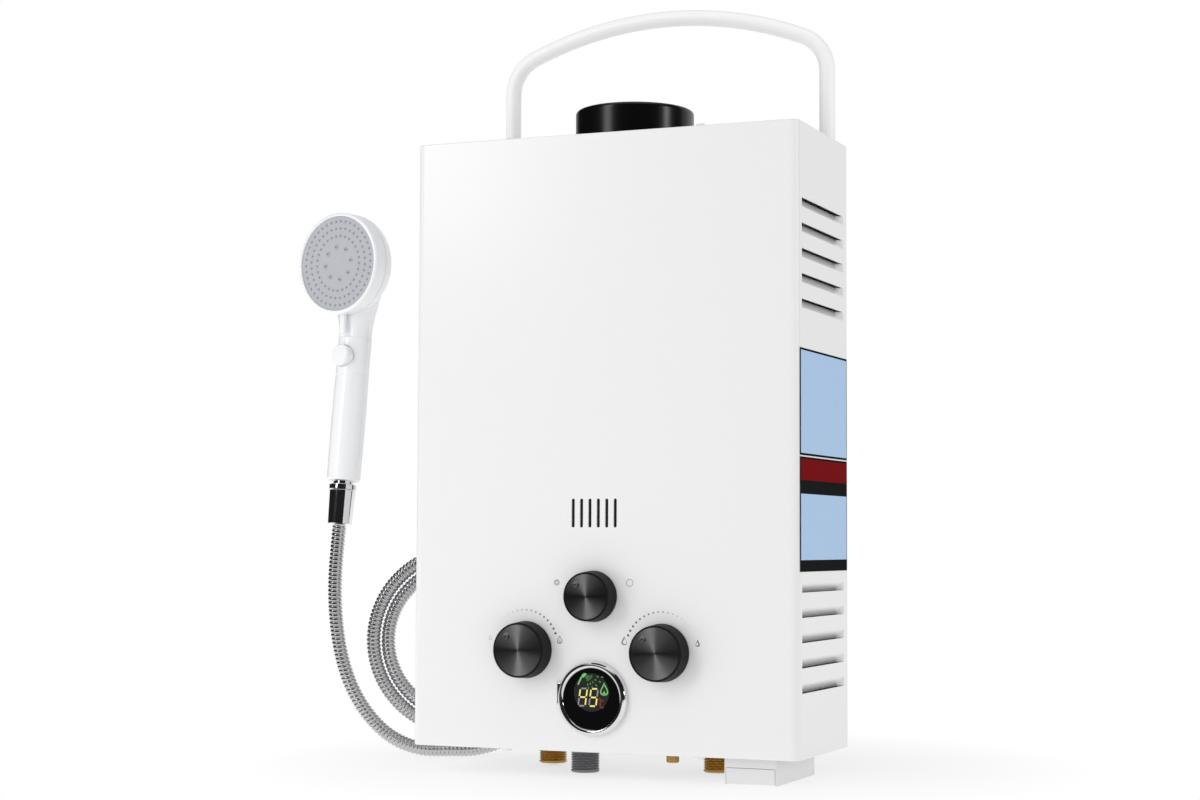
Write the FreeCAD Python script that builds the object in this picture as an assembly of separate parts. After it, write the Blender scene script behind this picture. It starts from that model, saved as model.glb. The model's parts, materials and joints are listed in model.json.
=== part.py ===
import FreeCAD, Part
import math
import os

# Portable gas water heater that stands on its pipe nipples and battery box, with a folding
# carry handle and a shower handset on a coiled metal hose. Millimetres, +Z up.
# Origin: centre of the four wall screw holes, in the plane of the wall. The front faces -Y.

os.makedirs("parts", exist_ok=True)
V = FreeCAD.Vector

# Casing
casing_width = 294.0
casing_height = 440.0
casing_depth = 117.0
wall_gap = 20.0
sheet = 1.0
front_edge_radius = 6.0
rim_edge_radius = 1.1
cover_flange = 13.0
plate_play = 0.3
louvre_clearance = 1.0
part_gap = 0.5

# Louvres in both sides
louvre_length = 100.0
louvre_height = 6.5
louvre_depth = 5.0
louvre_taper = 4.0
louvre_count = 5
louvre_front_gap = 8.5
upper_louvre_top = 166.5
upper_louvre_pitch = 17.6
lower_louvre_bottom = -106.2
lower_louvre_pitch = 17.2

# Flame slots
slot_count = 6
slot_pitch = 6.45
slot_width = 2.4
slot_height = 20.5
slot_level = -51.8
flame_pane_half_width = 24.0
flame_pane_half_height = 15.0
flame_pane_thickness = 0.8

# Knobs and display
control_axis_x = -4.0
side_knob_spread = 52.0
side_knob_level = -149.0
side_knob_radius = 20.3
centre_knob_level = -110.5
centre_knob_radius = 18.1
knob_length = 14.0
knob_taper = 0.9
knob_wall = 2.0
knob_hub_radius = 6.5
knob_panel_gap = 1.0
disc_inset = 1.3
disc_thickness = 0.8
pointer_turn = 40.0
pointer_inset = 5.6
pointer_radius = 2.2
spindle_radius = 3.0
spindle_flat = 2.2
running_gap = 0.05
display_level = -182.3
lens_radius = 21.4
lens_thickness = 2.0
display_board_half = 26.0
display_board_depth = 9.0
display_board_thickness = 1.6
bezel_radius = 26.5
bezel_height = 5.0
bezel_sleeve = 1.8
bezel_tab_reach = 0.6
bezel_tab_low = -4.8
bezel_tab_height = 16.0

# Flue
flue_x = 0.0
flue_y = -72.0
flue_radius = 43.8
flue_wall = 2.4
flue_height = 27.0
flue_flange_radius = 49.5
flue_flange = 1.5
flue_rim_radius = 3.0
hood_wall = 1.2

# Wall fixing
bead_spread = 78.0
bead_half_length = 120.0
bead_half_width = 7.0
bead_rise = 2.5
wall_hole_spacing_x = 80.0
wall_hole_spacing_z = 370.0
wall_hole_radius = 3.5
bracket_length = 116.0
bracket_crown = 24.0
bracket_foot = 12.0
bracket_sheet = 1.2

# Carry handle
handle_inset = 18.0
handle_tube_radius = 6.0
handle_tube_wall = 1.3
handle_wall_gap = 2.0
handle_pivot_level = 180.0
handle_top_level = 330.0
handle_arch_radius = 285.0
handle_corner_radius = 30.0
handle_tail = 8.0
pivot_radius = 3.0
cheek_gap = 0.4
cheek_sheet = 1.4
cheek_radius = 9.0

# Connections under the casing
foot_height = 19.0
thread_radius = 10.48
nipple_bore = 6.5
nipple_collar_radius = 12.0
nipple_neck_radius = 9.0
elbow_drop = 20.0
hot_elbow_drop = 55.0
plate_hole_gap = 0.8
gas_x, gas_y = -31.0, -87.0
cold_x, cold_y = 57.0, -47.5
hot_x, hot_y = -72.0, -52.0
hot_lift = 2.0
drain_x, drain_y = 37.0, -87.0
drain_radius = 4.6
drain_drop = 9.5
pipe_radius = 6.0
pipe_bend = 11.0
pipe_side_x = 120.0
cold_pipe_rise = 13.0

# Battery box
box_x, box_y = 107.5, -78.5
box_width = 39.0
box_length = 87.0
box_wall = 1.5
lid_gap = 0.3
lid_rise = 0.4
lid_thickness = 2.2
lid_seam_drop = 7.5
lid_pivot_inset = 5.0
lid_knuckle_radius = 2.1
lid_pin_radius = 1.4
cell_radius = 16.6
cell_height = 60.4
cell_gap = 0.6
contact_sheet = 0.4
contact_dome = 1.0
contact_play = 0.3

# Gas and water train
valve_y = -87.0
gas_barrel_radius = 17.0
water_barrel_radius = 15.0
diaphragm_radius = 24.0
valve_split_x = 8.0
boss_face_y = -118.0
spindle_depth = 12.0
spindle_end_gap = 1.0
boss_radius = 11.0
gas_leg_offset = 20.0
gas_leg_reach = 31.0
gas_leg_rise = 11.0
manifold_gap = 8.0
manifold_radius = 6.0
burner_count = 8
burner_side_gap = 18.0
burner_width = 10.0
chamber_side_gap = 52.0
chamber_front = -110.0
chamber_back = -30.0
season_boss_radius = 6.0
burner_stay_spread = 70.0
exchanger_stay_spread = 60.0
electrode_spread = 12.0
burner_top = -60.0
exchanger_top = 95.0
spark_case_gap = 5.0
spark_case_width = 34.0
spark_case_depth = 32.0
fin_count = 8
tube_level = 72.0
tube_spacing = 22.5

# Handset
handset_turn = -11.5
handle_lean = 6.3
nut_bottom_level = -59.2
nut_length = 33.7
nut_ring = 4.0
nut_neck = 2.7
nut_radius = 10.0
grip_radius = 13.0
grip_length = 83.5
valve_length = 29.4
face_radius = 39.8
face_level = 144.6
face_offset = 29.6
face_ring_depth = 12.0
face_ring_wall = 2.6
face_recess = 1.2
plate_thickness = 3.0
plate_hub_radius = 9.0
head_gap = 0.4
head_wall = 2.2
lever_width = 5.5
lever_thickness = 4.0
lever_reach = 14.5
button_radius = 8.4
button_stem_radius = 4.6
button_front = 18.3
button_back = 14.3
button_cap = 8.3
button_travel = 5.0
button_drop = 15.2
jet_count = 8
jet_turn = -8.0
jet_circle = 13.0
jet_radius = 1.6
jet_rise = 0.7
neck_sections = [(0.0, 12.81, 12.8, 0.0), (12.0, 14.0, 13.0, 0.6), (24.0, 18.5, 13.0, 1.8),
                 (40.0, 27.0, 11.5, 5.5)]

# Hose
hose_radius = 5.4
hose_plane_turn = 26.5
hose_centre_x, hose_centre_y = -173.1, -26.0
coil_level = -149.0
coil_left_radius = 69.2
coil_pitch = 11.4
coil_end_turn = 105.0
coil_end_lean = 22.0
end_nut_radius = 12.0
end_nut_length = 26.0
end_nut_bore = 9.32

y_back = -wall_gap
y_front = y_back - casing_depth
half_width = casing_width / 2
z_top = casing_height / 2
z_bottom = -z_top
floor = z_bottom - foot_height
handle_half_width = half_width - handle_inset
back_flange = casing_depth - louvre_front_gap - louvre_length - sheet - louvre_clearance
burner_floor = centre_knob_level + season_boss_radius + part_gap
chamber_half_width = half_width - chamber_side_gap
burner_pitch = 2 * (chamber_half_width - burner_side_gap) / (burner_count - 1)
cell_bottom = floor + lid_rise + lid_thickness + contact_sheet + contact_dome + contact_play
box_top = cell_bottom + cell_height + part_gap + contact_sheet + box_wall
nodes = {}


def block(x0, x1, y0, y1, z0, z1):
    """Box between two corners."""
    return Part.makeBox(x1 - x0, y1 - y0, z1 - z0, V(x0, y0, z0))


def rod(start, axis, radius, length):
    """Cylinder from a point along an axis."""
    return Part.makeCylinder(radius, length, V(*start), V(*axis))


def pipe_piece(start, axis, radius, bore, length):
    """Straight tube from a point along an axis."""
    return rod(start, axis, radius, length).cut(rod(start, axis, bore, length))


def outline(points):
    """Closed wire in the XZ plane through (r, h) points; a point of four values is an arc."""
    edges = []
    here = points[0]
    for item in points[1:] + [points[0]]:
        if len(item) == 4:
            mid, end = item[:2], item[2:]
            edges.append(Part.Arc(V(here[0], 0, here[1]), V(mid[0], 0, mid[1]),
                                  V(end[0], 0, end[1])).toShape())
            here = end
        else:
            edges.append(Part.LineSegment(V(here[0], 0, here[1]), V(item[0], 0, item[1])).toShape())
            here = item
    return Part.Wire(edges)


def turned(points, origin, axis):
    """Solid of revolution of an (r, h) outline, with h along the axis from the origin."""
    solid = Part.Face(outline(points)).revolve(V(0, 0, 0), V(0, 0, 1), 360)
    solid.Placement = FreeCAD.Placement(V(*origin), FreeCAD.Rotation(V(0, 0, 1), V(*axis)))
    return solid


def fuse(shapes):
    """One solid from touching or overlapping pieces, without inner seams."""
    first = shapes[0]
    return first.fuse(shapes[1:]).removeSplitter() if len(shapes) > 1 else first


def group(shapes):
    """Identical separate pieces kept together in one node."""
    return Part.makeCompound(shapes)


def mirrored_x(shape):
    """The same piece on the other side of the centre plane."""
    return shape.mirror(V(0, 0, 0), V(1, 0, 0))


def bent_path(points, bend):
    """Wire of straight runs joined by tangent arcs of one radius."""
    pts = [V(*p) for p in points]
    edges = []
    here = pts[0]
    for i in range(1, len(pts) - 1):
        before = (pts[i - 1] - pts[i]).normalize()
        after = (pts[i + 1] - pts[i]).normalize()
        half = before.getAngle(after) / 2
        cut = bend / math.tan(half)
        centre = pts[i] + (before + after).normalize() * (bend / math.sin(half))
        middle = centre + (pts[i] - centre).normalize() * bend
        start, end = pts[i] + before * cut, pts[i] + after * cut
        if here.distanceToPoint(start) > 0.001:
            edges.append(Part.LineSegment(here, start).toShape())
        edges.append(Part.Arc(start, middle, end).toShape())
        here = end
    if here.distanceToPoint(pts[-1]) > 0.001:
        edges.append(Part.LineSegment(here, pts[-1]).toShape())
    return Part.Wire(edges)


def swept(path, radius):
    """Round bar along a wire."""
    first = path.Edges[0]
    start = first.valueAt(first.FirstParameter)
    direction = first.tangentAt(first.FirstParameter)
    circle = Part.Wire(Part.makeCircle(radius, start, direction))
    return Part.Wire(path.Edges).makePipeShell([circle], True, False)


def bent_bar(path, radius):
    """Round bar along runs and arcs: a cylinder for each run and a turned piece for each arc."""
    pieces = []
    for edge in path.Edges:
        start = edge.valueAt(edge.FirstParameter)
        disc = Part.Face(Part.Wire(Part.makeCircle(radius, start, edge.tangentAt(edge.FirstParameter))))
        if edge.Curve.TypeId == "Part::GeomLine":
            pieces.append(disc.extrude(edge.valueAt(edge.LastParameter) - start))
        else:
            turn = math.degrees(edge.LastParameter - edge.FirstParameter)
            pieces.append(disc.revolve(edge.Curve.Center, edge.Curve.Axis, turn))
    return fuse(pieces)


def keep(name, shape):
    """Store a finished sub-part under its node name."""
    nodes[name] = shape


def louvre_wedge(edge_z, direction, extra):
    """Wedge in the right side wall; its open lip lies at edge_z and faces along direction."""
    x0 = half_width + 0.001
    x1 = half_width - louvre_depth - extra
    back = y_front + louvre_front_gap + louvre_length + extra
    front = y_front + louvre_front_gap - extra
    z1 = edge_z
    z0 = edge_z - direction * (louvre_height + extra)
    a, b = V(x0, front, z0), V(x0, back, z0)
    c, d = V(x0, front, z1), V(x0, back, z1)
    e, f = V(x1, front + louvre_taper, z1), V(x1, back - louvre_taper, z1)
    faces = [[a, b, d, c], [a, e, f, b], [a, c, e], [b, f, d], [c, d, f, e]]
    shell = Part.Shell([Part.Face(Part.makePolygon(loop + [loop[0]])) for loop in faces])
    solid = Part.Solid(shell)
    if solid.Volume < 0:
        solid.reverse()
    return solid


def louvre_lips():
    """Height and facing of every louvre's open lip."""
    upper = [(upper_louvre_top - i * upper_louvre_pitch, 1) for i in range(louvre_count)]
    lower = [(lower_louvre_bottom - i * lower_louvre_pitch, -1) for i in range(louvre_count)]
    return upper + lower


def long_slot(x, z):
    """Upright slot with round ends, through the front panel."""
    r = slot_width / 2
    straight = slot_height - slot_width
    y0, y1 = y_front - 1, y_front + sheet + 1
    middle = block(x - r, x + r, y0, y1, z - straight / 2, z + straight / 2)
    ends = [rod((x, y0, z + s * straight / 2), (0, 1, 0), r, y1 - y0) for s in (-1, 1)]
    return fuse([middle] + ends)


knob_places = {
    "gas": (control_axis_x - side_knob_spread, side_knob_level, side_knob_radius),
    "season": (control_axis_x, centre_knob_level, centre_knob_radius),
    "water": (control_axis_x + side_knob_spread, side_knob_level, side_knob_radius),
}
screw_places = [(x, y_front + cover_flange / 2, s) for x in (-casing_width / 4, casing_width / 4)
                for s in (-1, 1)]
screw_radius = 1.9
screw_gap = 0.15


def make_front_cover():
    """Sheet cover: front, two louvred sides and narrow return flanges at top and bottom."""
    outer = block(-half_width, half_width, y_front, y_back, z_bottom, z_top)
    corners = [e for e in outer.Edges
               if abs(e.BoundBox.YMax - y_front) < 0.01 and e.BoundBox.ZLength > 10]
    outer = outer.makeFillet(front_edge_radius, corners)
    rims = [e for e in outer.Edges if e.BoundBox.ZLength < 0.01 and e.BoundBox.YMin < y_back - 1]
    outer = outer.makeFillet(rim_edge_radius, rims)
    inner = block(-half_width + sheet, half_width - sheet, y_front + sheet, y_back + 1,
                  z_bottom + sheet, z_top - sheet)
    corners = [e for e in inner.Edges
               if abs(e.BoundBox.YMax - y_front - sheet) < 0.01 and e.BoundBox.ZLength > 10]
    inner = inner.makeFillet(front_edge_radius - sheet, corners)
    mouth = block(-half_width + cover_flange, half_width - cover_flange, y_front + cover_flange,
                  y_back + 1, z_bottom - 1, z_top + 1)
    cover = outer.cut([inner, mouth])
    scoops, holes = [], []
    for lip, facing in louvre_lips():
        for flip in (False, True):
            skin = louvre_wedge(lip, facing, sheet)
            hollow = louvre_wedge(lip, facing, 0)
            scoops.append(mirrored_x(skin) if flip else skin)
            holes.append(mirrored_x(hollow) if flip else hollow)
    cover = cover.fuse(scoops).cut(holes)
    trim = block(half_width, half_width + 1, y_front, y_back, z_bottom, z_top)
    cuts = [trim, mirrored_x(trim)]
    for x, z, radius in knob_places.values():
        cuts.append(rod((x, y_front - 1, z), (0, 1, 0), spindle_radius + 2, sheet + 2))
    hole = lens_radius + bezel_sleeve + 0.2
    cuts.append(rod((control_axis_x, y_front - 1, display_level), (0, 1, 0), hole, sheet + 2))
    for i in range(slot_count):
        x = control_axis_x + (i - (slot_count - 1) / 2) * slot_pitch
        cuts.append(long_slot(x, slot_level))
    for x, y, side in screw_places:
        z = z_top - sheet - 1 if side > 0 else z_bottom - 1
        cuts.append(rod((x, y, z), (0, 0, 1), screw_radius + screw_gap, sheet + 2))
    keep("front_cover", cover.cut(cuts))


def make_back_plate():
    """Flat back with side flanges inside the cover and two pressed stiffening beads."""
    w = half_width - sheet - plate_play
    h = z_top - 2 * sheet - 0.2
    body = block(-w, w, y_back - back_flange, y_back, -h, h)
    body = body.cut(block(-w + sheet, w - sheet, y_back - back_flange, y_back - sheet, -h, h))
    beads, hollows = [], []
    for side in (-1, 1):
        x, u, v = side * bead_spread, bead_half_width, bead_half_length
        bead = block(x - u, x + u, y_back - 0.01, y_back + bead_rise, -v, v)
        bead = bead.makeChamfer(2.0, [e for e in bead.Edges if e.BoundBox.YMin > y_back + 2])
        beads.append(bead)
        hollows.append(block(x - u + 2.5, x + u - 2.5, y_back - sheet - 0.1, y_back + 1.3, 3 - v, v - 3))
    keep("back_plate", fuse([body] + beads).cut(hollows))


def closing_plate(side):
    """Plate under the cover's flange at the top (side 1) or bottom (side -1)."""
    w = half_width - sheet - plate_play
    z0, z1 = sorted((side * (z_top - 2 * sheet), side * (z_top - sheet)))
    plate = block(-w, w, y_front + sheet + plate_play, y_back, z0, z1)
    corners = [e for e in plate.Edges if e.BoundBox.YMax < y_front + 3 and e.BoundBox.ZLength > 0.5]
    plate = plate.makeFillet(front_edge_radius - sheet, corners)
    cuts = []
    for x, y, s in screw_places:
        if s == side:
            cuts.append(rod((x, y, z0 - 1), (0, 0, 1), screw_radius + screw_gap, sheet + 2))
    return plate, cuts, z0


def make_closing_plates():
    """Top plate with the flue hole, bottom plate with its pipe and battery openings."""
    plate, cuts, z0 = closing_plate(1)
    cuts.append(rod((flue_x, flue_y, z0 - 1), (0, 0, 1), flue_radius - flue_wall, sheet + 2))
    keep("top_plate", plate.cut(cuts))
    plate, cuts, z0 = closing_plate(-1)
    hole = nipple_collar_radius + plate_hole_gap
    for x, y in ((gas_x, gas_y), (cold_x, cold_y), (hot_x, hot_y)):
        cuts.append(rod((x, y, z0 - 1), (0, 0, 1), hole, sheet + 2))
    cuts.append(rod((drain_x, drain_y, z0 - 1), (0, 0, 1), drain_radius + plate_hole_gap, sheet + 2))
    cuts.append(block(box_x - box_width / 2 - lid_gap, box_x + box_width / 2 + lid_gap,
                      box_y - box_length / 2 - lid_gap, box_y + box_length / 2 + lid_gap,
                      z0 - 1, z0 + sheet + 1))
    keep("bottom_plate", plate.cut(cuts))


def make_cover_screws():
    """Four pan-head screws that hold the cover's flanges to the closing plates."""
    screws = []
    for x, y, side in screw_places:
        head = [(0, 0), (3.6, 0), (3.6, 1.0), (2.6, 2.0), (0, 2.0)]
        cap = turned(head, (x, y, side * z_top), (0, 0, side))
        shank = rod((x, y, side * (z_top - 6)), (0, 0, side), screw_radius, 6)
        screws.append(fuse([cap, shank]))
    keep("cover_screws", group(screws))


def make_wall_brackets():
    """Two pressed hat-section brackets that hold the casing off the wall."""
    brackets = []
    c, f, t = bracket_crown / 2, bracket_foot, bracket_sheet
    depth = wall_gap
    for level in (wall_hole_spacing_z / 2, -wall_hole_spacing_z / 2):
        slope = 3.0
        outer = [(y_back, -c - slope - f), (y_back + t, -c - slope - f), (y_back + t, -c - slope),
                 (0, -c), (0, c), (y_back + t, c + slope), (y_back + t, c + slope + f),
                 (y_back, c + slope + f), (y_back, c + slope - t), (-t, c - t), (-t, -c + t),
                 (y_back, -c - slope + t)]
        wire = Part.makePolygon([V(-bracket_length / 2, y, level + z) for y, z in outer + outer[:1]])
        hat = Part.Face(wire).extrude(V(bracket_length, 0, 0))
        holes = [rod((s * wall_hole_spacing_x / 2, -depth, level), (0, 1, 0), wall_hole_radius,
                     depth + 1) for s in (-1, 1)]
        brackets.append(hat.cut(holes))
    keep("wall_brackets", group(brackets))


def make_flue():
    """Black flue collar with a rolled rim and a foot flange, over the hood's round spigot."""
    inner = flue_radius - flue_wall
    z0 = z_top - sheet
    top = z0 + flue_height
    rim = flue_rim_radius
    k = rim * (1 - math.sqrt(0.5))
    points = [(inner, z0), (flue_flange_radius, z0), (flue_flange_radius, z0 + flue_flange),
              (flue_radius, z0 + flue_flange), (flue_radius, top - rim),
              (flue_radius - k, top - k, flue_radius - rim, top), (inner - 1.5, top),
              (inner - 1.5, top - 1.5), (inner, top - 1.5)]
    keep("flue_collar", turned(points, (flue_x, flue_y, 0), (0, 0, 1)))
    r = flue_radius - flue_wall - 0.4
    hood_top = z_top - 30
    hoods = []
    for inset in (0, hood_wall):
        x = chamber_half_width - inset
        y0, y1 = chamber_front + inset, chamber_back - inset
        half = r + 1 - inset
        low = [V(px, py, exchanger_top) for px, py in ((x, y0), (x, y1), (-x, y1), (-x, y0))]
        high = [V(flue_x + u * half, flue_y + v * half, hood_top - inset)
                for u, v in ((1, -1), (1, 1), (-1, 1), (-1, -1))]
        wires = [Part.makePolygon(loop + loop[:1]) for loop in (low, high)]
        hoods.append(Part.makeLoft(wires, True, True))
    hole = rod((flue_x, flue_y, hood_top - 5), (0, 0, 1), r - hood_wall, 10)
    cone = hoods[0].cut([hoods[1], hole])
    spigot = pipe_piece((flue_x, flue_y, hood_top), (0, 0, 1), r, r - hood_wall, 35)
    keep("flue_hood", fuse([cone, spigot]))


def handle_line():
    """Centre line of the bail: straight legs, round corners and one long flat arch."""
    x, y = handle_half_width, -handle_wall_gap - handle_tube_radius
    low = handle_pivot_level - handle_tail
    corner_x = x - handle_corner_radius
    arch_centre = handle_top_level - handle_arch_radius
    reach = handle_arch_radius - handle_corner_radius
    lean = math.asin(corner_x / reach)
    corner_z = arch_centre + reach * math.cos(lean)
    meet = (handle_arch_radius * math.sin(lean), arch_centre + handle_arch_radius * math.cos(lean))
    half = (math.pi / 2 - lean) / 2
    mid = (corner_x + handle_corner_radius * math.cos(half),
           corner_z + handle_corner_radius * math.sin(half))
    edges = [
        Part.LineSegment(V(x, y, low), V(x, y, corner_z)).toShape(),
        Part.Arc(V(x, y, corner_z), V(mid[0], y, mid[1]), V(meet[0], y, meet[1])).toShape(),
        Part.Arc(V(meet[0], y, meet[1]), V(0, y, handle_top_level), V(-meet[0], y, meet[1])).toShape(),
        Part.Arc(V(-meet[0], y, meet[1]), V(-mid[0], y, mid[1]), V(-x, y, corner_z)).toShape(),
        Part.LineSegment(V(-x, y, corner_z), V(-x, y, low)).toShape(),
    ]
    return Part.Wire(edges)


def make_handle():
    """Bent tube bail, its two riveted cheek brackets and the pivot screws."""
    line = handle_line()
    tube = bent_bar(line, handle_tube_radius).cut(bent_bar(line, handle_tube_radius - handle_tube_wall))
    y, z = -handle_wall_gap - handle_tube_radius, handle_pivot_level
    eyes = rod((-half_width, y, z), (1, 0, 0), pivot_radius + running_gap, casing_width)
    keep("carry_handle", tube.cut(eyes))
    brackets, screws = [], []
    for side in (-1, 1):
        x = handle_half_width
        base = block(x - 15, x + 15, y_back, y_back + cheek_sheet, z - 16, z + 16)
        parts = [base]
        for sx in (-1, 1):
            near = sx * (handle_tube_radius + cheek_gap)
            x0, x1 = sorted((x + near, x + near + sx * cheek_sheet))
            cheek = block(x0, x1, y_back, y, z - cheek_radius, z + cheek_radius)
            parts += [cheek, rod((x0, y, z), (1, 0, 0), cheek_radius, cheek_sheet)]
        hole = rod((x - 20, y, z), (1, 0, 0), pivot_radius + running_gap, 40)
        above = block(x - 20, x + 20, -1.0, 20, z - 20, z + 20)
        bracket = fuse(parts).cut([hole, above])
        span = handle_tube_radius + cheek_gap + cheek_sheet
        shank = rod((x - span, y, z), (1, 0, 0), pivot_radius, 2 * span)
        head = turned([(0, 0), (5.2, 0), (5.2, 1.6), (3.8, 3.0), (0, 3.0)], (x + span, y, z), (1, 0, 0))
        nut = rod((x - span, y, z), (-1, 0, 0), 5.0, 3.2)
        screw = fuse([shank, head, nut])
        brackets.append(bracket if side > 0 else mirrored_x(bracket))
        screws.append(screw if side > 0 else mirrored_x(screw))
    keep("handle_brackets", group(brackets))
    keep("handle_pivot_screws", group(screws))


def flatted_spindle(x, z, start_y, end_y, radius):
    """Round spindle with a flat on its outer end, along Y."""
    flat_y = y_front - knob_panel_gap
    whole = rod((x, end_y, z), (0, 1, 0), radius, start_y - end_y)
    return whole.cut(block(x - 10, x + 10, end_y - 1, flat_y, z + spindle_flat, z + 10))


def make_knobs():
    """Three hollow knobs with spun metal faces, each pressed on a flatted spindle."""
    for name, (x, z, radius) in knob_places.items():
        base = y_front - knob_panel_gap
        h, front = knob_length, radius - knob_taper
        seat = front - disc_inset
        inner_end = h - 2.6
        points = [(0, h - disc_thickness), (0, inner_end - 1), (knob_hub_radius, inner_end - 1),
                  (radius - knob_wall, inner_end - 1), (radius - knob_wall, 0), (radius, 0),
                  (front, h - 0.8), (front - 0.8, h), (seat, h), (seat, h - disc_thickness)]
        cup = turned(points, (x, base, z), (0, -1, 0))
        hub = rod((x, base - 0.6, z), (0, -1, 0), knob_hub_radius, inner_end - 1.2)
        end_y = base - (inner_end - 1)
        spindle = flatted_spindle(x, z, boss_face_y + spindle_depth, end_y, spindle_radius)
        keep(name + "_knob", fuse([cup, hub]).cut(spindle))
        keep(name + "_spindle", spindle)
        disc = rod((x, base - h + disc_thickness, z), (0, -1, 0), seat - 0.1, disc_thickness - 0.1)
        reach = seat - pointer_inset + 0.9
        turn = math.radians(pointer_turn)
        dip = (x - reach * math.sin(turn), base - h + 0.1 - pointer_radius * 0.75,
               z + reach * math.cos(turn))
        keep(name + "_knob_disc", disc.cut(Part.makeSphere(pointer_radius, V(*dip))))


def make_display():
    """Round temperature display: chrome bezel, dark lens and the module behind it."""
    r, b, h = lens_radius, bezel_radius, bezel_height
    sleeve = r + bezel_sleeve
    centre = (control_axis_x, y_front, display_level)
    points = [(r + 0.1, -7), (sleeve, -7), (sleeve, 0), (b, 0), (b, 0.7),
              (b - 0.7, h * 0.62, r + 2.6, h), (r + 1.0, h - 0.25, r + 0.1, h - 1.2)]
    ring = turned(points, centre, (0, -1, 0))
    tab = block(centre[0] - b - bezel_tab_reach, centre[0] - b + 3.5, y_front - 3.0, y_front,
                display_level + bezel_tab_low, display_level + bezel_tab_low + bezel_tab_height)
    tab = tab.makeFillet(1.2, [e for e in tab.Edges if e.BoundBox.YMax < y_front - 1])
    tab = tab.cut(rod(centre, (0, -1, 0), sleeve, 10))
    keep("display_bezel", fuse([ring, tab]))
    lens_back = y_front - h + 1.4 + lens_thickness
    keep("display_lens", rod((centre[0], lens_back, centre[2]), (0, -1, 0), r, lens_thickness))
    board_y, half = y_front + display_board_depth, display_board_half
    can = rod((centre[0], board_y, centre[2]), (0, -1, 0), r - 0.2, board_y - lens_back)
    board = block(centre[0] - half, centre[0] + half, board_y, board_y + display_board_thickness,
                  centre[2] - half, centre[2] + half)
    keep("display_module", fuse([can, board]))
    pane = block(control_axis_x - flame_pane_half_width, control_axis_x + flame_pane_half_width,
                 y_front + sheet, y_front + sheet + flame_pane_thickness,
                 slot_level - flame_pane_half_height, slot_level + flame_pane_half_height)
    keep("flame_window", pane)


def nipple(x, y, end, root, neck):
    """Threaded pipe nipple: bore, thread cylinder, relief groove, collar and neck."""
    collar = z_bottom - 3
    points = [(nipple_bore, end), (thread_radius - 1, end), (thread_radius, end + 1),
              (thread_radius, collar - 1.2), (thread_radius - 1.5, collar - 1.2),
              (thread_radius - 1.5, collar), (nipple_collar_radius, collar),
              (nipple_collar_radius, collar + 8), (neck, collar + 8), (neck, root),
              (nipple_bore, root)]
    return turned(points, (x, y, 0), (0, 0, 1))


def make_connections():
    """Gas inlet, cold water inlet, hot water outlet and the drain plug."""
    z = side_knob_level
    keep("gas_inlet", nipple(gas_x, gas_y, floor, z - elbow_drop, nipple_neck_radius))
    keep("cold_inlet", nipple(cold_x, cold_y, floor, z - elbow_drop, nipple_neck_radius))
    keep("hot_outlet", nipple(hot_x, hot_y, floor + hot_lift, z - hot_elbow_drop, nipple_neck_radius))
    end = z_bottom - drain_drop
    points = [(0, end), (drain_radius - 0.6, end), (drain_radius, end + 0.6), (drain_radius, end + 8),
              (drain_radius - 1.4, end + 8), (drain_radius - 1.4, z - 28), (0, z - 28)]
    keep("drain_plug", turned(points, (drain_x, drain_y, 0), (0, 0, 1)))


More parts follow.
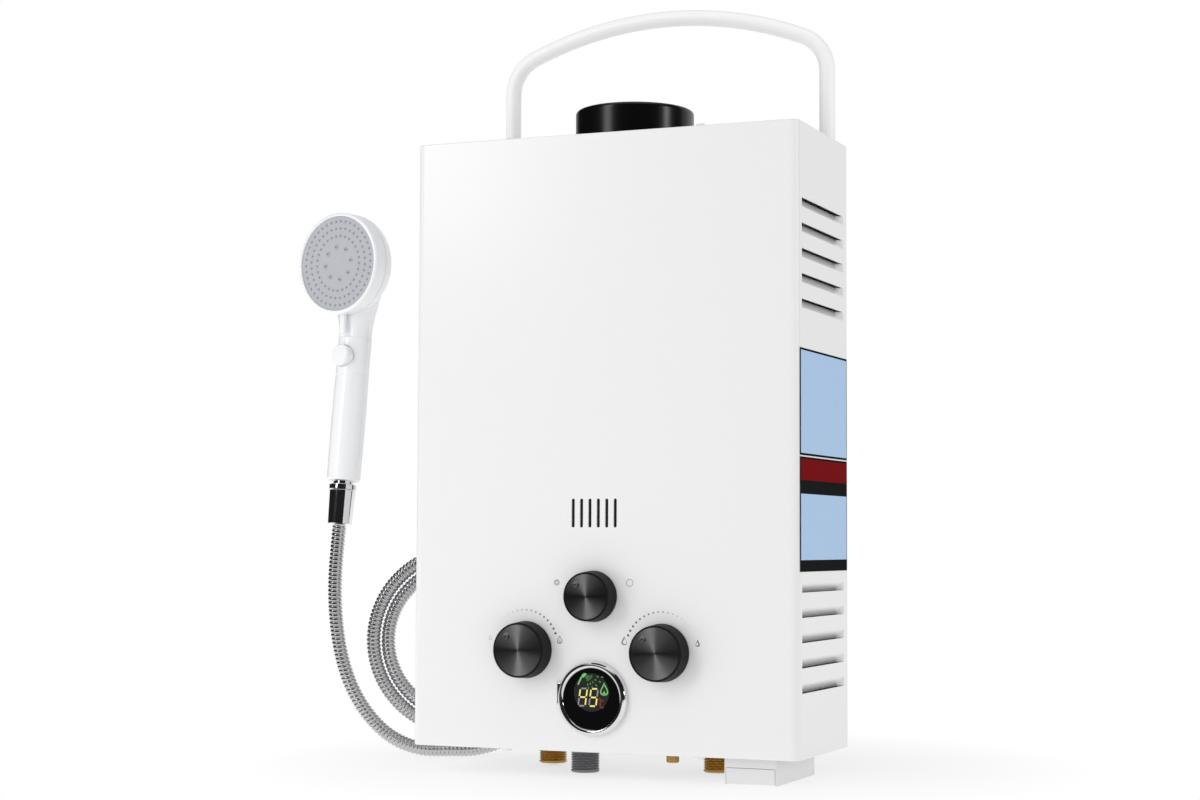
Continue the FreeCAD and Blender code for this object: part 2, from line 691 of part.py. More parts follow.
def make_valves():
    """Gas valve and water valve cast bodies on one axis, as water-led gas valves are."""
    z, y = side_knob_level, valve_y
    gas, season, water = [knob_places[n][0] for n in ("gas", "season", "water")]
    split = valve_split_x
    leg_x = gas - gas_leg_offset
    gas_parts = [
        rod((leg_x - 9, y, z), (1, 0, 0), gas_barrel_radius, split - leg_x + 9),
        rod((leg_x - 13, y, z), (1, 0, 0), 10, 5),
        rod((gas, y, z), (0, -1, 0), boss_radius, y - boss_face_y),
        rod((leg_x, y, z), (0, -1, 0), 8, gas_leg_reach),
        rod((leg_x, y - gas_leg_reach, z), (0, 0, 1), 8.5, gas_leg_rise),
        rod((gas_x, gas_y, z), (0, 0, -1), 12, elbow_drop),
        block(season - 9, season + 9, y - 10, y + 10, z, centre_knob_level + 5),
        rod((season, y + 10, centre_knob_level), (0, -1, 0), season_boss_radius, y + 10 - boss_face_y),
    ]
    bottom, depth = boss_face_y + spindle_depth + spindle_end_gap, spindle_depth + 2 * spindle_end_gap
    bores = [rod((x, bottom, level), (0, -1, 0), spindle_radius + running_gap, depth)
             for x, level in ((gas, z), (season, centre_knob_level))]
    bores.append(rod((gas_x, gas_y, z - elbow_drop - 1), (0, 0, 1), nipple_bore, 15))
    keep("gas_valve", fuse(gas_parts).cut(bores))
    water_parts = [
        rod((split, y, z), (1, 0, 0), diaphragm_radius, 7.5),
        rod((split + 8.5, y, z), (1, 0, 0), diaphragm_radius, 7.5),
        rod((split, y, z), (1, 0, 0), diaphragm_radius - 2, 16),
        rod((split + 16, y, z), (1, 0, 0), water_barrel_radius, 44),
        rod((split + 60, y, z), (1, 0, 0), 10, 6),
        rod((water, y, z), (0, -1, 0), boss_radius, y - boss_face_y),
        rod((cold_x, y, z), (0, 1, 0), 11, cold_y - y),
        rod((cold_x, cold_y, z - elbow_drop), (0, 0, 1), 12, elbow_drop + cold_pipe_rise),
        rod((drain_x, drain_y, z), (0, 0, -1), 8, 28),
    ]
    bores = [rod((water, bottom, z), (0, -1, 0), spindle_radius + running_gap, depth),
             rod((cold_x, cold_y, z - elbow_drop - 1), (0, 0, 1), nipple_bore, 15)]
    keep("water_valve", fuse(water_parts).cut(bores))
    top = z + gas_barrel_radius
    switch = block(gas_x - 3, gas_x + 17, y - 4, y + 4, top, top + 10)
    blade = block(gas_x - 3, gas_x + 16.5, y - 3, y + 3, top + 10, top + 10.5)
    keep("water_flow_switch", fuse([switch, blade]))


def burner_lines():
    """X places of the burner bars."""
    return [(i - (burner_count - 1) / 2) * burner_pitch for i in range(burner_count)]


def make_burner():
    """Burner frame, the row of burner bars and the manifold with its jets."""
    w, y0, y1 = chamber_half_width, chamber_front, chamber_back
    frame = block(-w, w, y0, y1, burner_floor, burner_top)
    frame = frame.cut(block(-w + 1.5, w - 1.5, y0 + 1.5, y1 - 1.5, burner_floor - 1, burner_top + 1))
    front_gap = block(-w + 8, w - 8, y0 - 1, y0 + 2, burner_floor + 4, burner_floor + 22)
    rails = [block(-w + 1.5, w - 1.5, y, y + 8, burner_floor, burner_floor + 1.5)
             for y in (y0 + 6, y1 - 16)]
    arms = [block(x - 6, x + 6, y1, y_back - sheet, burner_floor + 12, burner_floor + 13.5)
            for x in (-burner_stay_spread, burner_stay_spread)]
    keep("burner_frame", fuse([frame.cut(front_gap)] + rails + arms))
    bars = []
    low = burner_floor + 1.5
    for x in burner_lines():
        bar = block(x - burner_width / 2, x + burner_width / 2, y0 + 5, y1 - 5, low, burner_top - 2)
        bar = bar.makeFillet(3.5, [e for e in bar.Edges if e.BoundBox.ZMin > burner_top - 3
                                   and e.BoundBox.YLength > 10])
        mouth = rod((x, y0 + 4, low + 9), (0, 1, 0), 4.0, 30)
        port = block(x - 0.8, x + 0.8, y0 + 9, y1 - 9, burner_top - 12, burner_top)
        bars.append(bar.cut([mouth, port]))
    keep("burner_bars", group(bars))
    y, z = y0 - manifold_gap, low + 9
    leg_x = knob_places["gas"][0] - gas_leg_offset
    tube = rod((-w + 5, y, z), (1, 0, 0), manifold_radius, 2 * w - 10)
    jets = [rod((x, y, z), (0, 1, 0), 2.2, 11) for x in burner_lines()]
    leg_low = side_knob_level + gas_leg_rise
    leg = rod((leg_x, valve_y - gas_leg_reach, leg_low), (0, 0, 1), manifold_radius, z - leg_low)
    keep("gas_manifold", fuse([tube, leg] + jets))


def make_exchanger():
    """Copper combustion shell, finned tube core and its bends, and the two water pipes."""
    w, y0, y1 = chamber_half_width, chamber_front, chamber_back
    shell = block(-w, w, y0, y1, burner_top, exchanger_top)
    shell = shell.cut(block(-w + 1.2, w - 1.2, y0 + 1.2, y1 - 1.2, burner_top - 1, exchanger_top + 1))
    window = block(control_axis_x - flame_pane_half_width, control_axis_x + flame_pane_half_width,
                   y0 - 1, y0 + 2, burner_top + 2, slot_level + flame_pane_half_height)
    middle = (y0 + y1) / 2
    rows = [middle + tube_spacing, middle, middle - tube_spacing]
    passes = [rod((-w - 1, y, tube_level), (1, 0, 0), pipe_radius + running_gap, 2 * w + 2)
              for y in rows]
    straps = [block(x - 8, x + 8, y1, y_back - sheet, 10, 11.5)
              for x in (-exchanger_stay_spread, exchanger_stay_spread)]
    keep("heat_exchanger_shell", fuse([shell.cut([window] + passes)] + straps))
    fins = []
    pitch = 2 * (w - 12) / (fin_count - 1)
    for i in range(fin_count):
        x = -w + 12 + i * pitch
        fins.append(block(x - 0.5, x + 0.5, y0 + 1.6, y1 - 1.6, tube_level - 17, tube_level + 15))
    tubes = [rod((-w - 9, y, tube_level), (1, 0, 0), pipe_radius, 2 * w + 18) for y in rows]
    bends = []
    half = tube_spacing / 2
    for x, side, a in ((-w - 9, -1, rows[0]), (w + 9, 1, rows[1])):
        arc = Part.Arc(V(x, a, tube_level), V(x + side * half, a - half, tube_level),
                       V(x, a - tube_spacing, tube_level)).toShape()
        bends.append(bent_bar(Part.Wire([arc]), pipe_radius))
    keep("heat_exchanger_core", fuse(fins + tubes + bends))
    turn_level = side_knob_level + 30
    cold = [(cold_x, cold_y, side_knob_level + cold_pipe_rise), (cold_x, cold_y, turn_level),
            (pipe_side_x, cold_y, turn_level), (pipe_side_x, cold_y, tube_level),
            (w + 9, rows[0], tube_level)]
    keep("cold_pipe", bent_bar(bent_path(cold, pipe_bend), pipe_radius))
    low = side_knob_level - 37
    hot = [(-w - 9, rows[2], tube_level), (-pipe_side_x, rows[2], tube_level),
           (-pipe_side_x, rows[2], low), (-pipe_side_x, hot_y, low),
           (hot_x, hot_y, low), (hot_x, hot_y, side_knob_level - hot_elbow_drop)]
    keep("hot_pipe", bent_bar(bent_path(hot, pipe_bend), pipe_radius))


def make_ignition():
    """Spark controller, spark electrode, flame sensor and overheat thermostat."""
    case_x = -half_width + spark_case_gap
    case = block(case_x, case_x + spark_case_width, y_back - sheet - spark_case_depth, y_back - sheet,
                 -40, 30)
    case = case.makeFillet(2.5, [e for e in case.Edges if e.BoundBox.YMax < y_back - 5])
    keep("spark_controller", case)
    for name, side in (("spark_electrode", -1), ("flame_sensor", 1)):
        x, z = control_axis_x + side * electrode_spread, slot_level
        ceramic = rod((x, chamber_front - 12, z), (0, 1, 0), 2.4, 16)
        wire = rod((x, chamber_front - 16, z), (0, 1, 0), 0.8, 30)
        tongue = block(x - 5, x + 5, chamber_front - 1.2, chamber_front, burner_top - 12, z + 4)
        keep(name, fuse([ceramic, wire, tongue]))
    cap = turned([(0, 0), (8, 0), (8, 4), (5.5, 4), (5.5, 9), (0, 9)],
                 (chamber_half_width, -70, 20), (1, 0, 0))
    keep("overheat_thermostat", cap)


def make_battery_box():
    """Box for two upright cells, its hinged lid and all contacts."""
    x0, x1 = box_x - box_width / 2, box_x + box_width / 2
    y0, y1 = box_y - box_length / 2, box_y + box_length / 2
    t = box_wall
    seam = z_bottom - lid_seam_drop
    pivot_y = y1 - lid_pivot_inset
    lid_low = floor + lid_rise
    pivot_z = lid_low + lid_knuckle_radius
    outer = block(x0, x1, y0, y1, floor, box_top)
    outer = outer.makeFillet(2.0, [e for e in outer.Edges if e.BoundBox.ZLength > 10])
    hollow = block(x0 + t, x1 - t, y0 + t, y1 - t, floor - 1, box_top - t)
    front_gap = block(x0 + t, x1 - t, y0 - 1, y0 + t + 1, floor - 1, seam)
    pins = rod((x0 - 1, pivot_y, pivot_z), (1, 0, 0), lid_pin_radius + running_gap, box_width + 2)
    rim = block(x0 - 4, x1 + 4, y0 - 4, y1 + 4, z_bottom + 2 * sheet, z_bottom + 2 * sheet + 1.5)
    first = y0 + t + cell_gap + cell_radius
    second = first + 2 * cell_radius + cell_gap
    web = second + cell_radius + cell_gap
    partition = block(x0 + t, x1 - t, web, web + 1.2, pivot_z + 6, box_top - t)
    keep("battery_box", fuse([outer, rim]).cut([hollow, front_gap, pins]).fuse(partition))
    lx0, lx1 = x0 + t + lid_gap, x1 - t - lid_gap
    panel = block(lx0, lx1, y0, pivot_y, lid_low, lid_low + lid_thickness)
    lip = block(lx0, lx1, y0, y0 + 2.0, lid_low, seam - lid_gap)
    body = fuse([panel, lip])
    body = body.makeFillet(1.2, [e for e in body.Edges if e.BoundBox.YMax < y0 + 0.01
                                 and e.BoundBox.ZMax < lid_low + 0.01])
    knuckle = rod((lx0, pivot_y, pivot_z), (1, 0, 0), lid_knuckle_radius, lx1 - lx0)
    pin = rod((x0 + 0.2, pivot_y, pivot_z), (1, 0, 0), lid_pin_radius, box_width - 0.4)
    keep("battery_lid", fuse([body, knuckle, pin]))
    strip_low = lid_low + lid_thickness
    strip = block(box_x - 5, box_x + 5, first - 8, second + 8, strip_low, strip_low + contact_sheet)
    domes = [turned([(0, 0), (4, 0), (0, contact_dome)], (box_x, y, strip_low + contact_sheet), (0, 0, 1))
             for y in (first, second)]
    keep("lid_contact", fuse([strip] + domes))
    cells = []
    for y, facing in ((first, 1), (second, -1)):
        low = cell_bottom if facing > 0 else cell_bottom + cell_height
        points = [(0, 0), (cell_radius - 1, 0), (cell_radius, 1), (cell_radius, cell_height - 2.5),
                  (cell_radius - 1, cell_height - 1.5), (4.6, cell_height - 1.5), (4.6, cell_height),
                  (0, cell_height)]
        cells.append(turned(points, (box_x, y, low), (0, 0, facing)))
    keep("battery_cells", group(cells))
    roof = box_top - t
    contacts = [block(box_x - 6, box_x + 6, y - 6, y + 6, roof - contact_sheet, roof)
                for y in (first, second)]
    keep("battery_contacts", group(contacts))


def in_hand(shape, leaning=True):
    """Place a handset piece built upright on the grip axis, nut end at the origin."""
    if leaning:
        shape.rotate(V(0, 0, 0), V(1, 0, 0), -handle_lean)
    shape.rotate(V(0, 0, 0), V(0, 0, 1), handset_turn)
    shape.translate(V(*nut_foot))
    return shape


def hose_point(s, z, behind=0.0):
    """Point by the upright plane that the hose lies in: s along it, z up, and behind it."""
    c, n = math.cos(math.radians(hose_plane_turn)), math.sin(math.radians(hose_plane_turn))
    return (hose_centre_x + s * c - behind * n, hose_centre_y + s * n + behind * c, z)


nut_foot = hose_point(-85.8, nut_bottom_level)


def make_handset_handle():
    """Chrome hose nut, round grip, valve piece and the stop button that slides through it."""
    n, r = nut_length, nut_radius
    ring = n - nut_neck - nut_ring
    points = [(hose_radius - 1.2, 0), (r - 0.7, 0), (r, ring - 1), (r - 0.8, ring), (r + 0.5, ring),
              (r + 0.5, ring + nut_ring - 0.6), (r - 0.3, ring + nut_ring), (7.6, ring + nut_ring),
              (7.6, n), (hose_radius - 1.2, n)]
    keep("handset_nut", in_hand(turned(points, (0, 0, 0), (0, 0, 1))))
    g = grip_radius
    a, b = n, n + grip_length
    points = [(0, a), (g - 2.2, a), (g - 0.6, a + 0.5, g, a + 2.4), (g + 0.35, (a + b) / 2, g, b - 0.4),
              (g - 0.4, b), (0, b)]
    bore = rod((0, 0, a - 1), (0, 0, 1), 5.5, grip_length + 2)
    keep("handset_grip", in_hand(turned(points, (0, 0, 0), (0, 0, 1)).cut(bore)))
    c = b + valve_length
    middle = c - button_drop
    points = [(0, b), (g - 0.4, b), (g, b + 0.4), (g, c - 0.4), (g - 0.4, c), (0, c)]
    piece = turned(points, (0, 0, 0), (0, 0, 1))
    well_depth = g + 1 - (button_front - button_cap - button_travel - 0.3)
    well = rod((0, -g - 1, middle), (0, 1, 0), button_radius + 0.3, well_depth)
    stem_bore = rod((0, -g - 1, middle), (0, 1, 0), button_stem_radius + running_gap, 2 * g + 2)
    keep("handset_valve_body", in_hand(piece.cut([well, stem_bore])))
    back = -button_front + button_cap
    cap = turned([(0, 0), (button_radius, 0), (button_radius, button_cap - 1.4),
                  (button_radius - 1.0, button_cap - 0.4), (4, button_cap), (0, button_cap)],
                 (0, back, middle), (0, -1, 0))
    stem = rod((0, back, middle), (0, 1, 0), button_stem_radius, button_back - back)
    keep("stop_button", in_hand(fuse([cap, stem])))


def make_handset_head():
    """Domed head with its neck, the turning face ring with a lever, and the spray plate."""
    level = face_level - nut_bottom_level
    lean = math.tan(math.radians(handle_lean))
    face_y = level * lean - face_offset
    ring_back = face_y + face_ring_depth
    r = face_radius
    d0 = face_ring_depth + head_gap
    outer = [(0, d0), (r, d0), (r, d0 + 1.5), (r - 2.4, d0 + 8.6, r - 8.6, d0 + 15.4),
             (r - 19.0, d0 + 20.6, 1.5, d0 + 22.6), (0, d0 + 22.6)]
    w = head_wall
    inner = [(0, d0 + w), (r - w, d0 + w), (r - w - 2.4, d0 + 8, r - w - 9.4, d0 + 13.9),
             (r - 21.0, d0 + 18.2, 1.5, d0 + 20.2), (0, d0 + 20.2)]
    axis_origin = (0, face_y, level)
    dome = turned(outer, axis_origin, (0, 1, 0))
    hollow = turned(inner, axis_origin, (0, 1, 0))
    seam = nut_length + grip_length + valve_length
    sections = []
    for rise, half_x, half_y, forward in neck_sections:
        ring = Part.Ellipse(V(0, -forward, seam + rise), half_x, half_y)
        sections.append(Part.Wire(ring.toShape()))
    neck = Part.makeLoft(sections, True, False)
    neck.rotate(V(0, 0, 0), V(1, 0, 0), -handle_lean)
    front = block(-60, 60, -60, face_y + d0, 0, 300)
    neck = neck.cut(front)
    head = fuse([dome, neck]).cut(hollow)
    bore = rod((0, ring_back - 1, level), (0, 1, 0), plate_hub_radius + running_gap, 8)
    keep("handset_head", in_hand(head.cut(bore), False))
    inside = r - face_ring_wall
    points = [(inside, 0.6), (r - 2.4, 0), (r - 0.7, 0.3, r, 1.6), (r, face_ring_depth),
              (inside, face_ring_depth)]
    ring = turned(points, axis_origin, (0, 1, 0))
    lever_y = ring_back - 1.6
    tab = block(-lever_width / 2, lever_width / 2, lever_y - lever_thickness, lever_y,
                level - r - lever_reach, level - r + 1.5)
    tab = tab.makeFillet(1.6, [e for e in tab.Edges if e.BoundBox.ZLength > 5
                               or e.BoundBox.ZMax < level - r - lever_reach + 0.1])
    keep("spray_ring", in_hand(fuse([ring, tab]), False))
    t0 = face_recess
    edge = inside - running_gap
    plate = turned([(0, t0), (edge, t0), (edge, t0 + plate_thickness),
                    (plate_hub_radius, t0 + plate_thickness),
                    (plate_hub_radius, d0 + 5), (0, d0 + 5)], axis_origin, (0, 1, 0))
    jets = []
    for i in range(jet_count):
        turn = math.radians(jet_turn + 360 * i / jet_count)
        place = (jet_circle * math.sin(turn), face_y + t0, level + jet_circle * math.cos(turn))
        jets.append(rod(place, (0, -1, 0), jet_radius, jet_rise))
    keep("spray_plate", in_hand(fuse([plate] + jets), False))


# Route of the hose from the handset nut down to the floor, in its own upright plane.
lead_route = [(-85.9, -59.9), (-88.1, -84.0), (-89.2, -110.0), (-87.6, -137.0), (-83.2, -163.0),
              (-74.9, -187.0), (-61.5, -208.5), (-43.8, -225.0), (-22.0, -233.6), (0.0, -233.6)]


def hose_lead_path():
    """Straight runs joined by arcs of 0.45 of the shorter run over the tangent of half the turn."""
    pts = [V(*hose_point(s, z)) for s, z in lead_route]
    edges, radii = [], []
    here = pts[0]
    for i in range(1, len(pts) - 1):
        before, after = pts[i - 1] - pts[i], pts[i + 1] - pts[i]
        cut = 0.45 * min(before.Length, after.Length)
        turn = math.pi - before.getAngle(after)
        radii.append(round(cut / math.tan(turn / 2), 1))
        start = pts[i] + V(before).normalize() * cut
        end = pts[i] + V(after).normalize() * cut
        inward = (V(before).normalize() + V(after).normalize()).normalize()
        centre = pts[i] + inward * (radii[-1] / math.cos(turn / 2))
        radius = centre.distanceToPoint(start)
        middle = centre + (pts[i] - centre).normalize() * radius
        edges.append(Part.LineSegment(here, start).toShape())
        edges.append(Part.Arc(start, middle, end).toShape())
        here = end
    edges.append(Part.LineSegment(here, pts[-1]).toShape())
    return Part.Wire(edges), radii


def hose_coil_path():
    """Half turns that step inward by half a pitch, with straight ends of one diameter."""
    d = 2 * hose_radius
    bottom = floor + hose_radius
    left = coil_left_radius
    tops = [coil_level + left, coil_level + left - coil_pitch]
    lows = [bottom, coil_level - left, coil_level - left + coil_pitch]
    edges = [Part.LineSegment(V(*hose_point(0, bottom)), V(*hose_point(d, bottom))).toShape()]
    stops = [(lows[0], tops[0]), (tops[0], lows[1]), (lows[1], tops[1]), (tops[1], lows[2])]
    for i, (a, b) in enumerate(stops):
        side = 1 if i % 2 == 0 else -1
        r, mid = abs(b - a) / 2, (a + b) / 2
        corner = hose_point(d + side * r, mid)
        for u, v in ((V(*hose_point(d, a)), V(*corner)), (V(*corner), V(*hose_point(d, b)))):
            lean = math.pi / 4
            lift = r * math.sin(lean) * (1 if (u.z + v.z) / 2 > mid else -1)
            way = V(*hose_point(d + side * r * math.cos(lean), mid + lift))
            edges.append(Part.Arc(u, way, v).toShape())
    r = coil_left_radius - 1.5 * coil_pitch
    lean = math.radians(coil_end_lean)

    def at(degrees, ahead=0.0):
        # The last part turn leans out of the plane, so that its nut lies behind the turns.
        a = math.radians(degrees)
        along = r * math.sin(a) + ahead * math.cos(a)
        rise = r * (1 - math.cos(a)) + ahead * math.sin(a)
        return V(*hose_point(d + along, lows[2] + rise * math.cos(lean), rise * math.sin(lean)))
    edges.append(Part.Arc(at(0), at(coil_end_turn / 2), at(coil_end_turn)).toShape())
    tip, last = at(coil_end_turn), at(coil_end_turn, d)
    edges.append(Part.LineSegment(tip, last).toShape())
    return Part.Wire(edges), last, (last - tip).normalize()


def make_hose():
    """Hanging lead, coil on the floor and the free end's swivel nut."""
    lead, radii = hose_lead_path()
    tube = swept(lead, hose_radius)
    keep("shower_hose_lead", tube)
    coil, tip, direction = hose_coil_path()
    winding = swept(coil, hose_radius)
    keep("shower_hose_coil", winding)
    section = math.pi * hose_radius ** 2
    print("lead radii", radii)
    for name, line, solid in (("lead", lead, tube), ("coil", coil, winding)):
        ratio = solid.Volume / section / line.Length
        print(name, "length", round(line.Length, 1), "volume ratio", round(ratio, 5))
    spots = coil.discretize(Distance=4.0)
    gap = min(spots[i].distanceToPoint(spots[j])
              for i in range(len(spots)) for j in range(i + 12, len(spots)))
    print("coil least self-gap", round(gap - 2 * hose_radius, 2))
    r, n = end_nut_radius, end_nut_length
    hexagon = [V(r * math.cos(math.radians(60 * i)), r * math.sin(math.radians(60 * i)), n - 13)
               for i in range(7)]
    hex_part = Part.Face(Part.makePolygon(hexagon)).extrude(V(0, 0, 13))
    sleeve = turned([(0, 0), (6.6, 0), (7.6, 3), (7.6, n - 13), (0, n - 13)], (0, 0, 0), (0, 0, 1))
    nut = fuse([hex_part, sleeve]).cut(rod((0, 0, n - 9), (0, 0, 1), end_nut_bore, 10))
    nut.Placement = FreeCAD.Placement(tip, FreeCAD.Rotation(V(0, 0, 1), direction))
    keep("hose_end_nut", nut)


make_front_cover()
make_back_plate()
make_closing_plates()
make_cover_screws()
make_wall_brackets()
make_flue()
make_handle()
make_knobs()
make_display()
make_connections()
make_valves()
make_burner()
make_exchanger()
make_ignition()
make_battery_box()
make_handset_handle()
make_handset_head()
make_hose()

for name, shape in nodes.items():
    if not shape.isValid() or shape.Volume <= 0:
        print("not valid:", name)
    shape.exportStep("parts/" + name + ".step")
print(len(nodes), "sub-parts")
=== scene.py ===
import json
import math

import bmesh
import bpy
import numpy as np
from mathutils import Matrix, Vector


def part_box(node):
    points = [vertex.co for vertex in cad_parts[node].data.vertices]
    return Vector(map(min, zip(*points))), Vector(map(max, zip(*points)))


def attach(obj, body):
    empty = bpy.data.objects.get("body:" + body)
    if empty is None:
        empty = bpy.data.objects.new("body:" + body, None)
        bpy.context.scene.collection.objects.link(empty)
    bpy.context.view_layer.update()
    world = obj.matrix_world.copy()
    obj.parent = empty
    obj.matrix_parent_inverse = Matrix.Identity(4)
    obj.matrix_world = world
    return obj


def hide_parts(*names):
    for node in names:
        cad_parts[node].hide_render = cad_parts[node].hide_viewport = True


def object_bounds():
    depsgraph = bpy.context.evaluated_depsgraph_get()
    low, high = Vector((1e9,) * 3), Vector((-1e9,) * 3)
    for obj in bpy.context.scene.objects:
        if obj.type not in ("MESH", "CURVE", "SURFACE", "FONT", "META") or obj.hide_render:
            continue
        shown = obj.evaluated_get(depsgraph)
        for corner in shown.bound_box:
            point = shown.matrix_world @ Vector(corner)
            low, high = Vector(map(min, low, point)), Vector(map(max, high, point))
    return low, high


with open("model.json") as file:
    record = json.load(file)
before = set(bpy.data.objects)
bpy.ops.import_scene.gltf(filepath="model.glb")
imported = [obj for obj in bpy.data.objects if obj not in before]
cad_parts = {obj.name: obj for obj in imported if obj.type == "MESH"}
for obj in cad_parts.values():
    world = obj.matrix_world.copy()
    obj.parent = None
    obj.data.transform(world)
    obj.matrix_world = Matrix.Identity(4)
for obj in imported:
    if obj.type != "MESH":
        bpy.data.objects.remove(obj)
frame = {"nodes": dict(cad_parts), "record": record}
cad_box = [list(map(float, corner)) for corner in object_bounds()]

# Camera: a long lens 1.7 m away, to the right of the heater and level with its lower half.
# Place, bearing and lens come from six casing corners in the photograph.
camera_place = np.array([0.6081, -1.588, -0.072])
camera_yaw, camera_pitch, camera_roll = (math.radians(a) for a in (-22.733, 3.645, 0.27))
photo_width_px = 1200
focal_px = 2223.7
sensor_width = 36.0

ahead = np.array([math.sin(camera_yaw) * math.cos(camera_pitch),
                  math.cos(camera_yaw) * math.cos(camera_pitch), math.sin(camera_pitch)])
level_right = np.array([math.cos(camera_yaw), -math.sin(camera_yaw), 0.0])
level_up = np.cross(level_right, ahead)
right = math.cos(camera_roll) * level_right + math.sin(camera_roll) * level_up
upward = -math.sin(camera_roll) * level_right + math.cos(camera_roll) * level_up


def stand(holder, across, over, back, place):
    """Put an object in the scene with its own x, y and z along three directions."""
    holder.matrix_world = Matrix([[across[i], over[i], back[i], place[i]] for i in range(3)]
                                 + [[0, 0, 0, 1]])
    bpy.context.scene.collection.objects.link(holder)


camera_data = bpy.data.cameras.new("camera")
camera_data.sensor_fit = "HORIZONTAL"
camera_data.sensor_width = sensor_width
camera_data.lens = focal_px / photo_width_px * sensor_width
camera = bpy.data.objects.new("camera", camera_data)
stand(camera, right, upward, -ahead, camera_place)
bpy.context.scene.camera = camera

# Shower hose: 1.2 m of bright strip-wound steel, 10.8 mm thick, from the handset nut to the floor
# and in two and a half turns behind the casing. Its route repeats that of the solid, in metres.
# Its nuts are chromed brass.
hose_radius = 0.0054
hose_turn = math.radians(26.5)
hose_centre = (-0.1731, -0.0260)
hose_floor = -0.2336
lead_route = [(-0.0859, -0.0599), (-0.0881, -0.0840), (-0.0892, -0.1100), (-0.0876, -0.1370),
              (-0.0832, -0.1630), (-0.0749, -0.1870), (-0.0615, -0.2085), (-0.0438, -0.2250),
              (-0.0220, hose_floor), (0.0, hose_floor)]
coil_level = -0.149
coil_radius = 0.0692
coil_pitch = 0.0114
coil_end_turn = math.radians(105.0)
coil_end_lean = math.radians(22.0)
points_per_half_turn = 8
points_in_end_turn = 6
curve_steps = 24
rib_pitch = 0.0031
rib_groove = 0.0008
groove_share = 0.16
rows_per_rib = 8
hose_sides = 22


def hose_points(along, height, behind=0.0):
    """Points by the upright plane of the hose: its centre plus along and behind, turned by hose_turn."""
    along, height, behind = np.broadcast_arrays(along, height, behind)
    c, n = math.cos(hose_turn), math.sin(hose_turn)
    return np.stack([hose_centre[0] + along * c - behind * n, hose_centre[1] + along * n + behind * c,
                     height], -1)


def coil_points():
    """Control points of the turns: on radius r / cos(half step), half a step after each station."""
    straight = 2 * hose_radius
    ends = [hose_floor, coil_level + coil_radius, coil_level - coil_radius,
            coil_level + coil_radius - coil_pitch, coil_level - coil_radius + coil_pitch]
    step = math.pi / points_per_half_turn
    angle = (np.arange(points_per_half_turn) + 0.5) * step
    turns = []
    for turn, (start, end) in enumerate(zip(ends, ends[1:])):
        side = 1 if turn % 2 == 0 else -1
        r, middle = (end - start) / 2, (start + end) / 2
        reach = abs(r) / math.cos(step / 2)
        turns.append(hose_points(straight + side * reach * np.sin(angle),
                                 middle - math.copysign(reach, r) * np.cos(angle)))
    # The last turn is part of a circle that leans back, and the hose runs straight on from it.
    r = coil_radius - 1.5 * coil_pitch
    step = coil_end_turn / points_in_end_turn
    angle = (np.arange(points_in_end_turn) + 0.5) * step
    reach = r / math.cos(step / 2)
    along = np.append(reach * np.sin(angle),
                      r * math.sin(coil_end_turn) + straight * math.cos(coil_end_turn))
    rise = np.append(r - reach * np.cos(angle),
                     r * (1 - math.cos(coil_end_turn)) + straight * math.sin(coil_end_turn))
    turns.append(hose_points(straight + along, ends[-1] + rise * math.cos(coil_end_lean),
                             rise * math.sin(coil_end_lean)))
    return np.vstack(turns)


def spline_line(name, points):
    """Points along the NURBS curve of order 3 that has the given control points."""
    curve = bpy.data.curves.new(name, "CURVE")
    curve.dimensions = "3D"
    spline = curve.splines.new("NURBS")
    spline.points.add(len(points) - 1)
    spline.points.foreach_set("co", np.column_stack([points, np.ones(len(points))]).ravel())
    spline.order_u = 3
    spline.use_endpoint_u = True
    curve.resolution_u = curve_steps
    holder = bpy.data.objects.new(name, curve)
    bpy.context.scene.collection.objects.link(holder)
    mesh = bpy.data.meshes.new_from_object(holder)
    line = np.empty(len(mesh.vertices) * 3)
    mesh.vertices.foreach_get("co", line)
    bpy.data.objects.remove(holder)
    return line.reshape(-1, 3)


def evenly(line, count):
    """The same line at even spacing: each coordinate interpolated over the run length."""
    run = np.concatenate([[0.0], np.cumsum(np.linalg.norm(np.diff(line, axis=0), axis=1))])
    stations = np.linspace(0.0, run[-1], count)
    return np.column_stack([np.interp(stations, run, line[:, k]) for k in range(3)]), stations


def skin(name, grids, closed_along=False, sharp=30.0):
    """One mesh over grids of rows by columns: columns close round, and rows too or they are capped."""
    faces, base = [], 0
    for grid in grids:
        rows, cols = grid.shape[:2]
        i = np.arange(rows if closed_along else rows - 1)[:, None]
        j = np.arange(cols)[None, :]
        next_i, next_j = (i + 1) % rows, (j + 1) % cols
        quads = np.stack([i * cols + j, i * cols + next_j, next_i * cols + next_j, next_i * cols + j], -1)
        faces += (base + quads.reshape(-1, 4)).tolist()
        if not closed_along:
            faces += [(base + row * cols + np.arange(cols)).tolist() for row in (0, rows - 1)]
        base += rows * cols
    mesh = bpy.data.meshes.new(name)
    mesh.from_pydata(np.vstack([grid.reshape(-1, 3) for grid in grids]).tolist(), [], faces)
    shape = bmesh.new()
    shape.from_mesh(mesh)
    bmesh.ops.recalc_face_normals(shape, faces=shape.faces)
    shape.to_mesh(mesh)
    shape.free()
    mesh.polygons.foreach_set("use_smooth", np.ones(len(mesh.polygons), bool))
    mesh.set_sharp_from_angle(angle=math.radians(sharp))
    piece = bpy.data.objects.new(name, mesh)
    bpy.context.scene.collection.objects.link(piece)
    return piece


